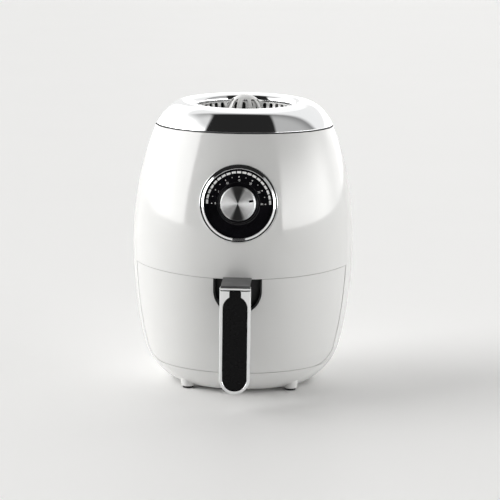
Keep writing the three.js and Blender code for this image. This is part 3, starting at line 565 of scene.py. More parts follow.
def sheet_steel():
    look = Look("sheet_steel", (0.56, 0.56, 0.545), 0.36, 1.0)
    look.vary_color(16, (0.52, 0.52, 0.5), (0.6, 0.6, 0.585))
    look.vary_roughness(25, 0.28, 0.46, (1, 1, 8))
    look.bump(300, 0.08, 0.0001, 3.0, (1, 1, 10))
    return look.material


def heat_steel():
    look = Look("heat_stained_steel", (0.33, 0.31, 0.29), 0.42, 1.0)
    look.vary_color(50, (0.26, 0.24, 0.22), (0.4, 0.37, 0.33))
    look.vary_roughness(90, 0.35, 0.5)
    look.bump(800, 0.1, 0.0001)
    return look.material


def plated_steel():
    look = Look("plated_steel", (0.6, 0.61, 0.62), 0.3, 1.0)
    look.vary_color(80, (0.56, 0.57, 0.58), (0.64, 0.65, 0.66))
    look.vary_roughness(140, 0.24, 0.38)
    look.bump(1200, 0.08, 0.0001)
    return look.material


def nonstick():
    look = Look("nonstick_coating", (0.03, 0.03, 0.032), 0.4)
    look.vary_color(70, (0.026, 0.026, 0.028), (0.038, 0.038, 0.04))
    look.vary_roughness(200, 0.34, 0.46)
    look.bump(1800, 0.22, 0.0001, 3.0)
    look.set("Coat Weight", 0.15)
    look.set("Coat Roughness", 0.3)
    return look.material


def rubber():
    look = Look("rubber", (0.018, 0.018, 0.018), 0.8)
    look.vary_color(90, (0.015, 0.015, 0.015), (0.026, 0.026, 0.026))
    look.vary_roughness(150, 0.72, 0.88)
    look.bump(1400, 0.3, 0.0002, 3.0)
    return look.material


def grey_plastic():
    look = Look("grey_plastic", (0.55, 0.55, 0.54), 0.45)
    look.vary_color(20, (0.53, 0.53, 0.52), (0.58, 0.58, 0.57))
    look.vary_roughness(70, 0.4, 0.52)
    look.bump(1300, 0.2, 0.0002, 3.0)
    return look.material


def ceramic():
    look = Look("ceramic", (0.75, 0.73, 0.68), 0.6)
    look.vary_color(120, (0.72, 0.7, 0.65), (0.78, 0.76, 0.71))
    look.bump(900, 0.2, 0.0001)
    return look.material


def print_white():
    look = Look("printed_white", (0.95, 0.95, 0.94), 0.45)
    look.vary_color(300, (0.93, 0.93, 0.92), (0.97, 0.97, 0.96))
    look.bump(2500, 0.1, 0.00005)
    return look.material


def spun_aluminium():
    """Turned metal: fine rings around the knob's own axis and a highlight drawn out by anisotropy, plus a
    painted reflection: two dark sectors above and below the axis are painted into the base colour as a bow
    tie.
    """
    look = Look("spun_aluminium", (0.8, 0.805, 0.81), 0.6, 1.0)
    tree = look.tree
    split = tree.nodes.new("ShaderNodeSeparateXYZ")
    tree.links.new(look.coordinates, split.inputs["Vector"])
    x, y = (split.outputs[name] for name in "XY")
    y_squared = calculate(tree, "MULTIPLY", y, y)
    radius_squared = calculate(tree, "MULTIPLY_ADD", x, x, y_squared)
    upright = calculate(tree, "DIVIDE", y_squared, radius_squared)
    # painted reflection: the base colour turns dark in the sectors near the knob's vertical, a painted dark
    # bow tie that turns with the knob rather than staying with the light
    painted_bow_tie_shade = ramp(tree, upright, 0.72, 0.95, 0.0, 1.0)
    look.mix_colors(painted_bow_tie_shade, (0.97, 0.973, 0.976), (0.11, 0.11, 0.113))
    rings = tree.nodes.new("ShaderNodeTexNoise")
    rings.noise_dimensions = "1D"
    rings.inputs["Scale"].default_value = 4200
    rings.inputs["Detail"].default_value = 3
    tree.links.new(calculate(tree, "SQRT", radius_squared), rings.inputs["W"])
    bump = tree.nodes.new("ShaderNodeBump")
    bump.inputs["Strength"].default_value = 0.12
    bump.inputs["Distance"].default_value = 0.00005
    tree.links.new(rings.outputs["Fac"], bump.inputs["Height"])
    tree.links.new(bump.outputs["Normal"], look.shader.inputs["Normal"])
    tree.links.new(look.between(rings.outputs["Fac"], 0.66, 0.74), look.shader.inputs["Roughness"])
    tangent = tree.nodes.new("ShaderNodeTangent")
    tangent.direction_type = "RADIAL"
    tangent.axis = "Z"
    tree.links.new(tangent.outputs["Tangent"], look.shader.inputs["Tangent"])
    look.set("Anisotropic", 1.0)
    look.set("Anisotropic Rotation", 0.25)
    return look.material


WHITE = white_gloss()
CHROME = chrome()
SATIN = satin_black()
GRAINED = grained_black()
DIAL_BLACK = dial_black()
SMOKED = smoked()
STEEL = sheet_steel()
HEAT_STEEL = heat_steel()
PLATED = plated_steel()
NONSTICK = nonstick()
RUBBER = rubber()
GREY = grey_plastic()
CERAMIC = ceramic()
PRINT = print_white()
SPUN_PAINTED_BOW_TIE = spun_aluminium()

# ------------------------------------------------------------------ outlines shared by body and drawer


def panel_outline(gap):
    """Front view of the drawer front, anticlockwise."""
    floor = BASE_SEAM_Z + gap

    def side_x(z):
        return body_radius(z) * math.sin(PANEL_HALF_ANGLE) - gap

    def top_z(x):
        return SEAM_Z + SEAM_RISE * (x / WIDEST_R) ** 2 - gap

    corner_x = side_x(floor)
    corner_top = floor + PANEL_CORNER
    top_x = side_x(SEAM_Z + SEAM_RISE)
    start = (corner_x - PANEL_CORNER, floor)
    end = (side_x(corner_top), corner_top)
    corner = [tuple(curve_point(start, (corner_x, floor), end, t)) for t in spread(0, 1, 13)]
    side = [(side_x(z), z) for z in spread(corner_top, top_z(top_x), 40)[1:]]
    right = corner + side
    top = [(x, top_z(x)) for x in spread(top_x, -top_x, 61)[1:-1]]
    left = [(-x, z) for x, z in reversed(right)]
    return right + top + left


def recess_outline(inset, top):
    """Front view of the round-bottomed recess behind the handle."""
    half = RECESS_HALF_WIDTH - inset
    bottom = arc((0, RECESS_CENTRE_Z), half, 180, 360, 49)
    return bottom + [(half, top), (-half, top)]


def shell_profile(start, end, outer, inner, rows, edge=0.6):
    """A shell under the body's surface, with its two rims rounded on the outside."""
    heights = spread(start, end, rows)
    outside = [(body_radius(z) - outer, z) for z in heights]
    inside = [(body_radius(z) - inner, z) for z in heights[:: max(1, rows // 24)]][::-1]
    rim = rounded([outside[-2], outside[-1], inside[0]], [0, edge, 0], 4, False)[1:-1]
    foot = rounded([inside[-1], outside[0], outside[1]], [0, edge, 0], 4, False)[1:-1]
    return foot + outside[1:-1] + rim + inside


# ------------------------------------------------------------------ housing


def housing_shell():
    profile = shell_profile(BASE_SEAM_Z + TRAY_GAP, CROWN_SEAM_Z - 0.2, 0, SHELL_WALL, 90)
    made = turned("housing_shell", profile)
    opening = fronted("cut", panel_outline(0), -FAR, 0)
    foot = fronted("cut", box_outline(70, 0, BASE_SEAM_Z + 2), -FAR, 0)
    dial_hole_r = BEZEL_OUTER_R + GAP
    dial_hole = turned("cut", [(0, -25), (dial_hole_r, -25), (dial_hole_r, 20), (0, 20)], 96)
    place_on_dial(dial_hole)
    vent = fronted("cut", vent_outline(0), NEAR, FAR)
    hole_r = 7
    gland_hole = turned("cut", [(0, 0), (hole_r, 0), (hole_r, 60), (0, 60)], 48)
    laid(gland_hole, BACKWARDS, 80, GLAND_Z)
    made = carve(made, [opening, foot, dial_hole, vent, gland_hole])
    keep(true_normals(made), "housing", "gloss_white", WHITE, "outer_shell")


def place_on_dial(made):
    """Moves a piece drawn around the dial's own axis to the dial."""
    made.data.transform(Matrix.Translation((0, -AXIS_Y * MM, 0)))
    made.matrix_world = Matrix.Translation(DIAL["pos_m"]) @ Matrix.Rotation(FORWARDS - DIAL_TILT, 4, "X")


def vent_outline(inset):
    half_width = 30 - inset
    half_height = 17 - inset
    corner_r = 4.0
    return rounded(box_outline(half_width, VENT_Z - half_height, VENT_Z + half_height), corner_r, 6)


def rear_grille():
    sunk = 0.4
    profile = shell_profile(VENT_Z - 20, VENT_Z + 20, sunk, SHELL_WALL + 0.2, 14)
    made = turned("rear_louvre", profile)
    made = carve(made, [fronted("cut", vent_outline(GAP), NEAR, FAR)], "INTERSECT")
    slot_r = 1.5
    slots = []
    for z in spread(VENT_Z - 12, VENT_Z + 12, 6):
        slots.append(fronted("cut", rounded(box_outline(25, z - slot_r, z + slot_r), slot_r, 5), NEAR, FAR))
    made = carve(made, slots)
    keep(true_normals(made, sunk), "housing", "white_grille", WHITE, "rear_exhaust_grille")


def base():
    wall = 3
    seam = BASE_SEAM_Z - TRAY_GAP
    floor = BASE_Z + wall
    outside = [(body_radius(z), z) for z in spread(BASE_Z, seam, 24)]
    floor_edge = rounded([(0, BASE_Z), outside[0], outside[2]], [0, 1.2, 0], 5, False)[1:-1]
    rim = rounded([outside[-2], outside[-1], (outside[-1][0] - wall, seam)], [0, 0.5, 0], 4, False)[1:-1]
    inside = []
    for z in spread(seam, floor, 8):
        thickening = wall * (BASE_SEAM_Z - z) / BASE_SEAM_Z
        inside.append((body_radius(z) - wall - thickening, z))
    profile = [(0, BASE_Z)] + floor_edge + outside[3:-1] + rim + inside + [(0, floor)]
    keep(true_normals(turned("base_tray", profile)), "housing", "gloss_white", WHITE, "base_pan")


def feet():
    """Four white nubs under the tray, each with a rubber pad that has one shallow ring in its tread."""
    nubs = []
    for number in (1, 2, 3, 4):
        spot, pad_r = foot_spot(number)
        nub_profile = [(0, 2.3), (pad_r + 1.2, 2.3), (pad_r + 3.4, 14.5), (0, 14.5)]
        nub = turned("nub", rounded(nub_profile, [0, 1.4, 0.5, 0], 5, False), 64)
        nub.data.transform(spot)
        nubs.append(nub)
    keep(join("foot_nubs", nubs), "housing", "gloss_white", WHITE)
    for number in (1, 2, 3, 4):
        spot, pad_r = foot_spot(number)
        tread = [(0, 0), (2, 0), (2.4, 0.5), (3, 0.5), (3.4, 0), (pad_r - 0.6, 0), (pad_r, 0.6)]
        pad = turned(f"rubber_foot_{number}", tread + [(pad_r, 2.1), (0, 2.1)], 48)
        pad.data.transform(spot)
        keep(pad, "housing", "rubber_pad", RUBBER, f"foot_pad_{number}")


def foot_spot(number):
    """The move from the body axis to a foot, and the radius of its pad."""
    node = f"foot_pad_{number}"
    centre = middle(node)
    return Matrix.Translation((centre.x * MM, (centre.y - AXIS_Y) * MM, 0)), high(node).x - centre.x


def lean(made):
    """Tips the top of a piece forward, more the further a point is above the crown's seam."""
    for vertex in made.data.vertices:
        share = max(0.0, vertex.co.z / MM - CROWN_SEAM_Z) / (CREST_Z - CROWN_SEAM_Z)
        vertex.co.z += LEAN * share * (vertex.co.y - AXIS_Y * MM)
    return made


def crown():
    foot_z = CROWN_SEAM_Z + 0.35
    foot_r = body_radius(CROWN_SEAM_Z) - 0.1
    under = CREST_Z - CROWN_SHEET
    lip_r = RIM_R + CROWN_SHEET
    turn_r = CREST_R + 14
    lip_turn_r = CREST_R - 7
    outside = bezier((foot_r, foot_z), (SHOULDER_R, SHOULDER_Z), (turn_r, CREST_Z), (CREST_R, CREST_Z), 48)
    lip = bezier((CREST_R, CREST_Z), (lip_turn_r, CREST_Z), (RIM_R, CREST_Z - 2), (RIM_R, RIM_Z), 24)[1:]
    back_lip = bezier((lip_r, RIM_Z - 1), (lip_r, under - 1.3), (lip_turn_r + 1, under), (CREST_R, under), 12)
    inner_shoulder = (SHOULDER_R - 2.4, SHOULDER_Z - 1.7)
    inside = bezier((CREST_R, under), (turn_r - 1, under), inner_shoulder, (foot_r - 3, foot_z), 20)[1:]
    foot_edge = rounded([inside[-1], outside[0], outside[3]], [0, 0.5, 0], 4, False)[1:-1]
    profile = foot_edge + outside[4:] + lip + [(RIM_R, RIM_Z - 1)] + back_lip + inside
    keep(lean(turned("crown_trim", profile, 256)), "housing", "chrome_trim", CHROME, "crown_ring")


def wedge_cutter(start, reach, degrees, floor, top):
    """A radial slot cutter that widens outwards and has a round top, pointing at -Y."""
    rows = []
    for radius in (start, reach):
        half = radius * math.tan(math.radians(degrees / 2))
        arch = half * 0.9
        angles = [math.pi * k / 10 for k in range(11)]
        round_top = [(half * math.cos(a), top - arch + arch * math.sin(a)) for a in angles]
        outline = [(-half, floor), (half, floor)] + round_top
        rows.append([(x, -radius, z) for x, z in outline])
    count = len(rows[0])
    ends = [list(reversed(range(count))), list(range(count, 2 * count))]
    return new_object("wedge", rows[0] + rows[1], ends + ring_links(0, count, count))


def inlet_grille():
    """A bowl of radial fins that curve down from the rim to the cap in the middle."""
    wall = 55.6
    floor = 289
    top = RIM_Z - 1.4
    outside = [(wall, floor), (wall, top)]
    bowl = bezier((wall - 2, top), (wall - 2.4, 300), (46, 297), (22, 296.4), 30)
    under = bezier((22, 294), (44, 294.2), (wall - 3.4, 292), (wall - 2, floor), 14)
    profile = rounded(outside + bowl + under, [0, 0.5, 0.5] + [0] * (len(bowl) + len(under) - 1), 3)
    gaps = 40
    slots = around(wedge_cutter(28, 62, 5.2, floor - 4, top - 0.9), gaps, 180 / gaps)
    made = lean(carve(turned("inlet_bowl", profile, 240), [slots]))
    keep(made, "housing", "white_grille", WHITE, "top_grille")
    shroud = rounded([(57.2, floor), (58.2, floor), (58.2, top - 0.2), (57.2, top - 0.2)], 0.3, 2)
    keep(lean(turned("inlet_shroud", shroud, 128)), "housing", "black_plastic", GRAINED)


def inlet_dome():
    low_z = 296.9
    straight = 302
    top_z = high("grille_dome").z
    radius = 22.5
    wall = 2.4

    def cap(thinner, count):
        turns = [math.radians(d) for d in spread(0, 88, count)]
        rise = top_z - straight - thinner
        return [((radius - thinner) * math.cos(a), straight + rise * math.sin(a)) for a in turns]

    profile = [(radius, low_z)] + cap(0, 24) + [(0, top_z), (0, top_z - wall)]
    profile += cap(wall, 16)[::-1] + [(radius - wall, low_z)]
    slots = around(wedge_cutter(8.5, 30, 23, 299.5, 321.5), 10, 4)
    made = carve(turned("inlet_cap", profile, 160), [slots])
    keep(made, "housing", "white_grille", WHITE, "grille_dome")


# ------------------------------------------------------------------ timer dial


def on_dial(made, body, slot, look, *nodes):
    place_on_dial(made)
    keep(made, body, slot, look, *nodes)


def dial():
    inner = BEZEL_INNER_R
    outer = BEZEL_OUTER_R
    ring = [(inner, -11), (outer, -11), (outer, 1.0), (inner + 2.5, 1.0), (inner + 0.4, 2.2), (inner, 2.1)]
    bezel = rounded(ring, [0, 0, 0.8, 0.1, 0.1, 0.1], 6)
    on_dial(turned("dial_ring", bezel, 160), "housing", "chrome_trim", CHROME, "dial_bezel")
    edge = inner - 0.1
    groove = [(23.6, PLATE_FACE), (23.2, 0.35), (22.6, 0.35), (22.2, PLATE_FACE)]
    plate = [(4, -1), (edge, -1), (edge, PLATE_FACE)] + groove + [(4, PLATE_FACE)]
    on_dial(turned("dial_face", plate, 128), "housing", "dial_face", DIAL_BLACK, "dial_plate")
    dial_marks()
    knob()


def flat_mark(outline, height=0.12):
    """A printed mark standing a hair above the dial plate."""
    start = PLATE_FACE - 0.02
    return new_object("mark", *slab_mesh(outline, start, start + height))


def turned_outline(outline, degrees, radius):
    """Moves an outline drawn at the origin to a clock angle and radius on the dial."""
    angle = math.radians(90 - degrees)
    turn = math.radians(-degrees)
    centre = Vector((radius * math.cos(angle), radius * math.sin(angle)))
    return [tuple(centre + Matrix.Rotation(turn, 2) @ Vector(point)) for point in outline]


def dial_marks():
    marks = []
    dash = rounded(box_outline(2.25, -1.15, 1.15), 0.3, 3)
    for degrees in spread(3 - SCALE_END, SCALE_END - 3, 19):
        marks.append(flat_mark(turned_outline(dash, degrees, DASH_RING_R)))
    for i, degrees in enumerate(spread(-SCALE_END, SCALE_END, 13)):
        dot_r = 0.62 if i % 2 == 0 else 0.42
        dot = arc((0, 0), dot_r, 0, 337.5, 16)
        marks.append(flat_mark(turned_outline(dot, degrees, DOT_RING_R)))
    for minutes, degrees in zip(range(0, 31, 5), spread(-SCALE_END, SCALE_END, 7)):
        marks.append(numeral(str(minutes), degrees, NUMERAL_RING_R, 3.0))
    on_dial(join("dial_print", marks), "housing", "dial_face", PRINT)


def numeral(text, degrees, radius, size):
    """A plain number, upright on the dial."""
    curve = bpy.data.curves.new("numeral", "FONT")
    curve.body = text
    curve.size = size * MM
    curve.align_x = "CENTER"
    curve.align_y = "CENTER"
    curve.extrude = 0.05 * MM
    curve.resolution_u = 3
    words = place("numeral", curve)
    view = bpy.context.evaluated_depsgraph_get()
    mesh = bpy.data.meshes.new_from_object(words.evaluated_get(view))
    bpy.data.objects.remove(words)
    angle = math.radians(90 - degrees)
    spot = Vector((radius * math.cos(angle), radius * math.sin(angle) + AXIS_Y, PLATE_FACE + 0.05))
    mesh.transform(Matrix.Translation(spot * MM))
    return place("numeral", mesh)


def knob():
    ridges = 72
    ridge_depth = 0.22
    segments = ridges * 4
    back = 1.3
    face = KNOB_FRONT - 0.25
    profile = [(0, back), (KNOB_R - 0.5, back), (KNOB_R, back + 0.5), (KNOB_R, KNOB_FRONT - 1.4)]
    profile += [(KNOB_R - 1.1, KNOB_FRONT), (KNOB_R - 1.7, KNOB_FRONT), (KNOB_R - 2.0, face), (0, face)]
    vertices, faces = turned_mesh(profile, segments)
    shaped = []
    for x, y, z in vertices:
        radius = math.hypot(x, y)
        if abs(radius - KNOB_R) < 0.01:
            wave = ridge_depth * (0.5 + 0.5 * math.cos(ridges * math.atan2(y, x)))
            x *= 1 - wave / radius
            y *= 1 - wave / radius
        shaped.append((x, y, z))
    made = shade(new_object("knob_cap", shaped, faces), 30)
    # the knob's finish carries a painted dark bow tie of reflection in its base colour
    on_dial(made, "knob", "brushed_knob", SPUN_PAINTED_BOW_TIE, "timer_knob")
    skirt = rounded([(5, 0.75), (21.4, 0.75), (21.4, 2.3), (5, 2.3)], [0, 0, 0.8, 0], 5)
    on_dial(turned("knob_skirt", skirt, 96), "knob", "black_plastic", DIAL_BLACK)
    pointer = turned_outline(rounded(box_outline(1.15, 12.3, 17.3), 0.4, 3), POINTER_REST, 0)
    made = raised("knob_pointer", pointer, KNOB_FRONT - 0.3, KNOB_FRONT - 0.1)
    on_dial(made, "knob", "black_plastic", DIAL_BLACK)


# ------------------------------------------------------------------ drawer


def drawer_panel():
    top = SEAM_Z + SEAM_RISE + 3
    made = turned("drawer_panel", shell_profile(BASE_SEAM_Z - 2, top, 0, PANEL_WALL, 60))
    made = carve(made, [fronted("cut", panel_outline(PANEL_GAP), -FAR, -5)], "INTERSECT")
    made = carve(made, [fronted("cut", recess_outline(0, FAR), -FAR, -NEAR)])
    keep(true_normals(made), "drawer", "gloss_white", WHITE, "drawer_front")


def recess_cup():
    top = SEAM_Z - PANEL_GAP - 0.3
    made = turned("recess_cup", shell_profile(90, top + 4, 0.8, RECESS_DEPTH + 2.5, 20, 0.2))
    made = carve(made, [fronted("cut", recess_outline(GAP, top), -FAR, -NEAR)], "INTERSECT")
    hollow = turned("cut", shell_profile(80, top + 12, -10, RECESS_DEPTH, 20, 0.2))
    hollow = carve(hollow, [fronted("cut", recess_outline(1.9, top + 8), -FAR, -NEAR)], "INTERSECT")
    strap = fronted("cut", box_outline(12.5, STRAP_TOP_Z, STRAP_TOP_Z + 2.3), -125, -100)
    made = carve(made, [hollow, strap])
    keep(made, "drawer", "black_plastic", GRAINED, "handle_recess")


def vessel(name, node, foot_r, inner_foot_r, rim_r, lip_r, sheet, roundings):
    """A drawn sheet-metal tub with a rounded foot and a flat lip, between the heights of its CAD node."""
    floor = low(node).z
    top = high(node).z
    heel_r = foot_r + 3.5
    outside = [(0, floor), (foot_r, floor), (heel_r, floor + 3), (rim_r, top - sheet), (lip_r, top - sheet)]
    inside = [(lip_r, top), (rim_r - sheet, top), (heel_r - sheet, floor + sheet + 2.5)]
    inside += [(inner_foot_r, floor + sheet), (0, floor + sheet)]
    return turned(name, rounded(outside + inside, roundings, 6, False), 160)


def pan():
    roundings = [0, 4, 6, 1.4, 0.5, 0.5, 2, 6, 4, 0]
    made = vessel("pan_shell", "pan", 79, 78.4, 92, 95, 1.2, roundings)
    keep(made, "drawer", "nonstick_coating", NONSTICK, "pan")


def basket():
    floor = low("basket").z
    roundings = [0, 4, 6, 0.8, 0.4, 0.4, 1.2, 6, 4, 0]
    made = vessel("basket_shell", "basket", 74, 73.6, 88, 89.6, 1.1, roundings)

    def floor_slot(start, end, half=1.8):
        outline = rounded(box_outline(half, -end, -start), half * 0.95, 5)
        return raised("slot", outline, floor - 5, floor + 5)

    def wall_slot(start, end):
        return fronted("slot", rounded(box_outline(2, floor + start, floor + end), 1.9, 5), -100, -NEAR)

    wall_count = 40
    cutters = [
        around(floor_slot(10, 22), 8),
        around(floor_slot(28, 44), 16, 180 / 16),
        around(floor_slot(50, 69), 32),
        around(wall_slot(9, 27), wall_count, 180 / wall_count),
        around(wall_slot(34, 52), wall_count),
    ]
    keep(carve(made, cutters), "drawer", "nonstick_coating", NONSTICK, "basket")


# ------------------------------------------------------------------ handle


def insert_outline(inset, top):
    """The grip's capsule with its narrow neck, anticlockwise from the lower left."""
    half = HANDLE_HALF_WIDTH - HANDLE_BORDER - inset
    low_centre = HANDLE_BOTTOM_Z + HANDLE_BORDER + inset + half
    high_centre = GRIP_CREST_Z - inset - half
    neck = NECK_HALF_WIDTH - inset
    shoulder = math.degrees(math.acos(neck / half))
    bottom = arc((0, low_centre), half, 180, 360, 41)
    right = arc((0, high_centre), half, 0, shoulder, 16)
    left = arc((0, high_centre), half, 180 - shoulder, 180, 16)
    return bottom + right + [(neck, top), (-neck, top)] + left


def capsule(half, floor, top):
    return arc((0, floor + half), half, 180, 360, 49) + [(half, top), (-half, top)]


def handle_front():
    lip_low = HANDLE_TOP_Z - 2.4
    outer = capsule(HANDLE_HALF_WIDTH, HANDLE_BOTTOM_Z, lip_low - 0.35)
    made = fronted("handle_trim", outer, HANDLE_FRONT_Y + 0.2, HANDLE_SPLIT_Y, 1.2, 6)
    made = carve(made, [fronted("cut", insert_outline(0, FAR), HANDLE_FRONT_Y - 5, HANDLE_SPLIT_Y + 5)])
    bevel = made.modifiers.new("edge", "BEVEL")
    bevel.width = 0.35 * MM
    bevel.segments = 2
    bevel.limit_method = "ANGLE"
    bevel.angle_limit = math.radians(50)
    keep(made, "drawer", "chrome_trim", CHROME, "handle_frame")
    lip = [(HANDLE_FRONT_Y, lip_low), (HANDLE_SPLIT_Y, lip_low), (HANDLE_SPLIT_Y, HANDLE_TOP_Z)]
    lip = rounded(lip + [(HANDLE_FRONT_Y, HANDLE_TOP_Z)], [0.5, 0.3, 0.3, 0.5], 6)
    keep(sided("handle_lip", lip, HANDLE_HALF_WIDTH, 0.5), "drawer", "chrome_trim", CHROME)


def grip():
    """The grip pad, with a softly crowned face inside the chrome frame."""
    half = HANDLE_HALF_WIDTH - HANDLE_BORDER - GAP
    crown_height = 1.5
    crown_start = 0.7
    outline = insert_outline(GAP, HANDLE_TOP_Z - 2.8)
    front = HANDLE_FRONT_Y + 0.9
    rings = [(HANDLE_SPLIT_Y, 0.0), (front + 0.9, 0.0), (front + 0.35, 0.18)]
    rings += [(front, inset) for inset in (crown_start, 1.2, 2.4, 4.0, 6.0, 8.5)]
    spine_low = HANDLE_BOTTOM_Z + HANDLE_BORDER + half
    spine_high = GRIP_CREST_Z - half
    vertices = []
    for depth, inset in rings:
        for x, z in outline:
            spine_z = min(max(z, spine_low), spine_high)
            share = max(0.0, 1 - inset / math.hypot(x, z - spine_z))
            moved_x = x * share
            rise = 0.0
            if inset >= crown_start:
                rise = crown_height * (1 - min(1.0, abs(moved_x) / half) ** 2)
            vertices.append((moved_x, depth - rise, spine_z + (z - spine_z) * share))
    count = len(outline)
    last = len(vertices) - count
    faces = []
    for level in range(0, last, count):
        faces += [face[::-1] for face in ring_links(level, level + count, count)]
    faces += [list(range(count)), list(reversed(range(last, len(vertices))))]
    made = shade(new_object("grip_pad", vertices, faces), 50)
    keep(made, "drawer", "black_plastic", SATIN, "grip_insert")


def handle_back():
    core = capsule(HANDLE_HALF_WIDTH - 1, HANDLE_BOTTOM_Z + 1, HANDLE_TOP_Z)
    made = fronted("handle_body", core, HANDLE_SPLIT_Y + GAP, HANDLE_BACK_Y, 3.5, 6)
    arm_end = -body_radius(STRAP_TOP_Z) + RECESS_DEPTH - 0.8
    arm = rounded(box_outline(8, 107, STRAP_TOP_Z), [3, 3, 0.8, 0.8], 5)
    made = carve(made, [fronted("arm", arm, HANDLE_BACK_Y - 3, arm_end)], "UNION")
    holes = [raised("cut", box_outline(6.3, BUTTON_FRONT_Y - GAP, BUTTON_BACK_Y + GAP), 110, FAR)]
    for z in (42, 96):
        screw_hole = turned("cut", [(0, -1), (4, -1), (4, 3), (2.1, 3), (2.1, 12), (0, 12)], 32)
        holes.append(laid(screw_hole, FORWARDS, HANDLE_BACK_Y, z))
    keep(carve(made, holes), "drawer", "black_plastic", GRAINED, "handle_core")


def guard():
    back = high("button_guard").y - AXIS_Y
    top_back = high("button_guard").z
    front = HANDLE_FRONT_Y
    thick = 1.8
    under = [(front, GUARD_FRONT_TOP_Z - thick), (back, top_back - thick)]
    outline = rounded(under + [(back, top_back), (front, GUARD_FRONT_TOP_Z)], [0.5, 0.5, 0.8, 1.0], 5)
    keep(sided("guard_cover", outline, 15.5, 0.4, 3), "guard", "smoked_guard", SMOKED, "button_guard")


def release_button():
    block = rounded(box_outline(6, BUTTON_FRONT_Y, BUTTON_BACK_Y), 1.2, 4)
    pad = rounded(box_outline(4.4, BUTTON_FRONT_Y + 1.6, BUTTON_BACK_Y - 1.5), 1, 4)
    top = 134.6
    parts = [raised("block", block, 126, top, 0.6), raised("pad", pad, top - 0.6, top + 0.4, 0.4)]
    keep(join("unlock_button", parts), "button", "black_plastic", GRAINED, "release_button")


# ------------------------------------------------------------------ cavity and small parts


def cavity():
    liner_r = 96.5
    disc_r = 94
    sheet = 1.2
    front = -24.2
    floor = LINER_FLOOR_Z
    skirt_low = BASE_SEAM_Z + 0.6
    outer_r = liner_r + sheet
    skirt_r = disc_r - sheet
    outer = [(outer_r, front)] + arc((0, 0), outer_r, 0, 180, 97) + [(-outer_r, front)]
    inner = [(-liner_r, front)] + arc((0, 0), liner_r, 180, 0, 97) + [(liner_r, front)]
    walls = raised("cavity_shell", outer + inner, floor, high("cavity_liner").z)
    rear_floor = raised("floor", outer, floor, floor + sheet)
    disc = turned("disc", [(0, floor), (disc_r, floor), (disc_r, floor + sheet), (0, floor + sheet)], 128)
    skirt = [(skirt_r, skirt_low), (disc_r, skirt_low), (disc_r, floor + 0.5), (skirt_r, floor + 0.5)]
    rear_half = fronted("cut", box_outline(120, 0, 60), front - 2.6, 130)
    front_skirt = carve(turned("skirt", skirt, 128), [rear_half])
    made = carve(walls, [rear_floor, disc, front_skirt], "UNION")
    keep(made, "housing", "sheet_steel", STEEL, "cavity_liner")


def deck_ring():
    deck_z = low("chamber_deck").z
    deck_r = high("chamber_deck").x
    deck = rounded([(93, deck_z), (deck_r, deck_z), (deck_r, deck_z + 2), (93, deck_z + 2)], 0.4, 3)
    keep(turned("deck_ring", deck, 160), "housing", "sheet_steel", STEEL, "chamber_deck")


def gland():
    bore = 3.6
    outline = [(bore, 0), (6.6, 0), (6.6, 12.4), (10, 13.2), (9.4, 20), (bore, 20)]
    profile = rounded(outline, [0.3, 0.3, 0.3, 1.2, 1.6, 0.6], 5)
    made = laid(turned("cord_bush", profile, 64), BACKWARDS, 101, GLAND_Z)
    keep(made, "housing", "black_plastic", GRAINED, "cord_gland")


SLOT_FINISH = {
    "black_plastic": GRAINED,
    "dial_face": DIAL_BLACK,
    "smoked_guard": SMOKED,
    "sheet_steel": STEEL,
    "element_tube": HEAT_STEEL,
    "grey_plastic": GREY,
    "motor_can": PLATED,
    "ceramic_white": CERAMIC,
    "rubber_pad": RUBBER,
    "fastener_steel": PLATED,
    "brushed_knob": PLATED,
    "nonstick_coating": NONSTICK,
    "gloss_white": WHITE,
    "white_grille": WHITE,
    "chrome_trim": CHROME,
}


def finish_cad_nodes():
    """Gives every CAD node its slot's procedural finish, for the nodes that stay in view."""
    for entry in frame["record"]["subparts"]:
        mesh = NODES[entry["node"]].data
        mesh.materials.clear()
        mesh.materials.append(SLOT_FINISH[entry["material_slot"]])


# ------------------------------------------------------------------ camera, floor and light


def camera():
    """The photograph's view: a long lens a little right of centre, looking slightly down."""
    azimuth = math.radians(2.66)
    pitch = math.radians(9.9)
    roll = math.radians(0.7)
    distance = 2.2696
    height = 0.5437
    lens = 145.3
    aim_right = math.radians(0.194)
    away = Vector((math.sin(azimuth), -math.cos(azimuth), 0))
    stand = away * distance + Vector((0, AXIS_Y * MM, height))
    ahead = -away * math.cos(pitch) - Vector((0, 0, math.sin(pitch)))
    right = ahead.cross(Vector((0, 0, 1))).normalized()
    up = right.cross(ahead)
    leaned_right = right * math.cos(roll) + up * math.sin(roll)
    leaned_up = up * math.cos(roll) - right * math.sin(roll)
    ahead = (ahead * math.cos(aim_right) + leaned_right * math.sin(aim_right)).normalized()
    leaned_right = ahead.cross(leaned_up).normalized()
    data = bpy.data.cameras.new("camera")
    data.lens = lens
    data.sensor_width = 36
    made = place("camera", data)
    rotation = Matrix((leaned_right, leaned_up, -ahead)).transposed().to_4x4()
    made.matrix_world = Matrix.Translation(stand) @ rotation
    bpy.context.scene.camera = made


def floor():
    half = 14
    mesh = bpy.data.meshes.new("floor")
    corners = [(-half, -half, 0), (half, -half, 0), (half, half, 0), (-half, half, 0)]
    mesh.from_pydata(corners, [], [(0, 1, 2, 3)])
    made = place("floor", mesh)
    look = Look("pale_floor", (0.88, 0.877, 0.87), 0.55)
    look.vary_color(3, (0.877, 0.874, 0.867), (0.883, 0.88, 0.873))
    made.data.materials.append(look.material)


LEFT_BOX = 5.2
RIGHT_BOX = 5.2
CEILING = 1.12
BACK_WALL = 0.95
DARK_FRONT = 0.02
SOFT_EDGE = 0.03


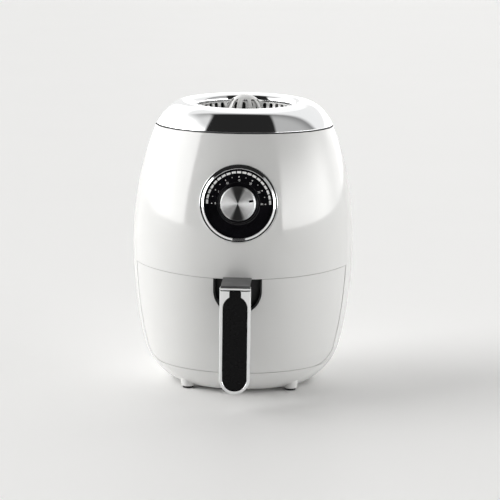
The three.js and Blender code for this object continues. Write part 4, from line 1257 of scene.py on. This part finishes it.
def studio():
    """A photographer's room as a formula of the direction looked in: tall softboxes to the left and right
    of a dark front, dimmer behind, a white ceiling whose front edge bends back at both sides, and a white
    wall behind."""
    world = bpy.data.worlds.new("studio")
    bpy.context.scene.world = world
    world.use_nodes = True
    tree = world.node_tree
    coordinates = tree.nodes.new("ShaderNodeTexCoord")
    split = tree.nodes.new("ShaderNodeSeparateXYZ")
    tree.links.new(coordinates.outputs["Generated"], split.inputs["Vector"])
    x, y, z = (split.outputs[name] for name in "XYZ")

    def total(constant, *terms):
        """constant + factor * value + ..."""
        for factor, value in terms:
            constant = calculate(tree, "MULTIPLY_ADD", value, factor, constant)
        return constant

    def times(first, second):
        return calculate(tree, "MULTIPLY", first, second)

    def brightest(first, second):
        return calculate(tree, "MAXIMUM", first, second)

    back_fade = ramp(tree, y, 0.1, 0.5, 1.0, 0.4)
    left_edge = total(0.697, (-0.407, y), (-0.272, z), (1.0, x))
    left_box = ramp(tree, left_edge, -SOFT_EDGE, SOFT_EDGE, LEFT_BOX, 0.0)
    left = times(left_box, times(back_fade, ramp(tree, z, 0.5, 0.85, 1.0, 0.15)))
    right_edge = total(0.346, (-0.464, y), (0.03, z), (-1.0, x))
    right_box = ramp(tree, right_edge, -SOFT_EDGE, SOFT_EDGE, RIGHT_BOX, 0.0)
    right = times(right_box, times(back_fade, ramp(tree, z, 0.1, 0.5, 1.0, 0.095)))
    higher = calculate(tree, "ADD", z, 0.1)
    ceiling_edge = total(-1.47, (1.4627, y), (-0.147, z), (higher, higher))
    ceiling = ramp(tree, ceiling_edge, 0.0, 0.05, 0.0, CEILING)
    wall = ramp(tree, y, 0.3, 0.5, 0.0, BACK_WALL)
    light = brightest(brightest(left, right), brightest(ceiling, wall))
    background = tree.nodes["Background"]
    background.inputs["Color"].default_value = (1.0, 0.998, 0.99, 1.0)
    tree.links.new(brightest(light, DARK_FRONT), background.inputs["Strength"])


camera()
floor()
studio()
bpy.context.scene.view_settings.view_transform = "Standard"

finish_cad_nodes()
housing_shell()
rear_grille()
base()
feet()
crown()
inlet_grille()
inlet_dome()
dial()
drawer_panel()
recess_cup()
pan()
basket()
handle_front()
grip()
handle_back()
guard()
release_button()
cavity()
deck_ring()
gland()
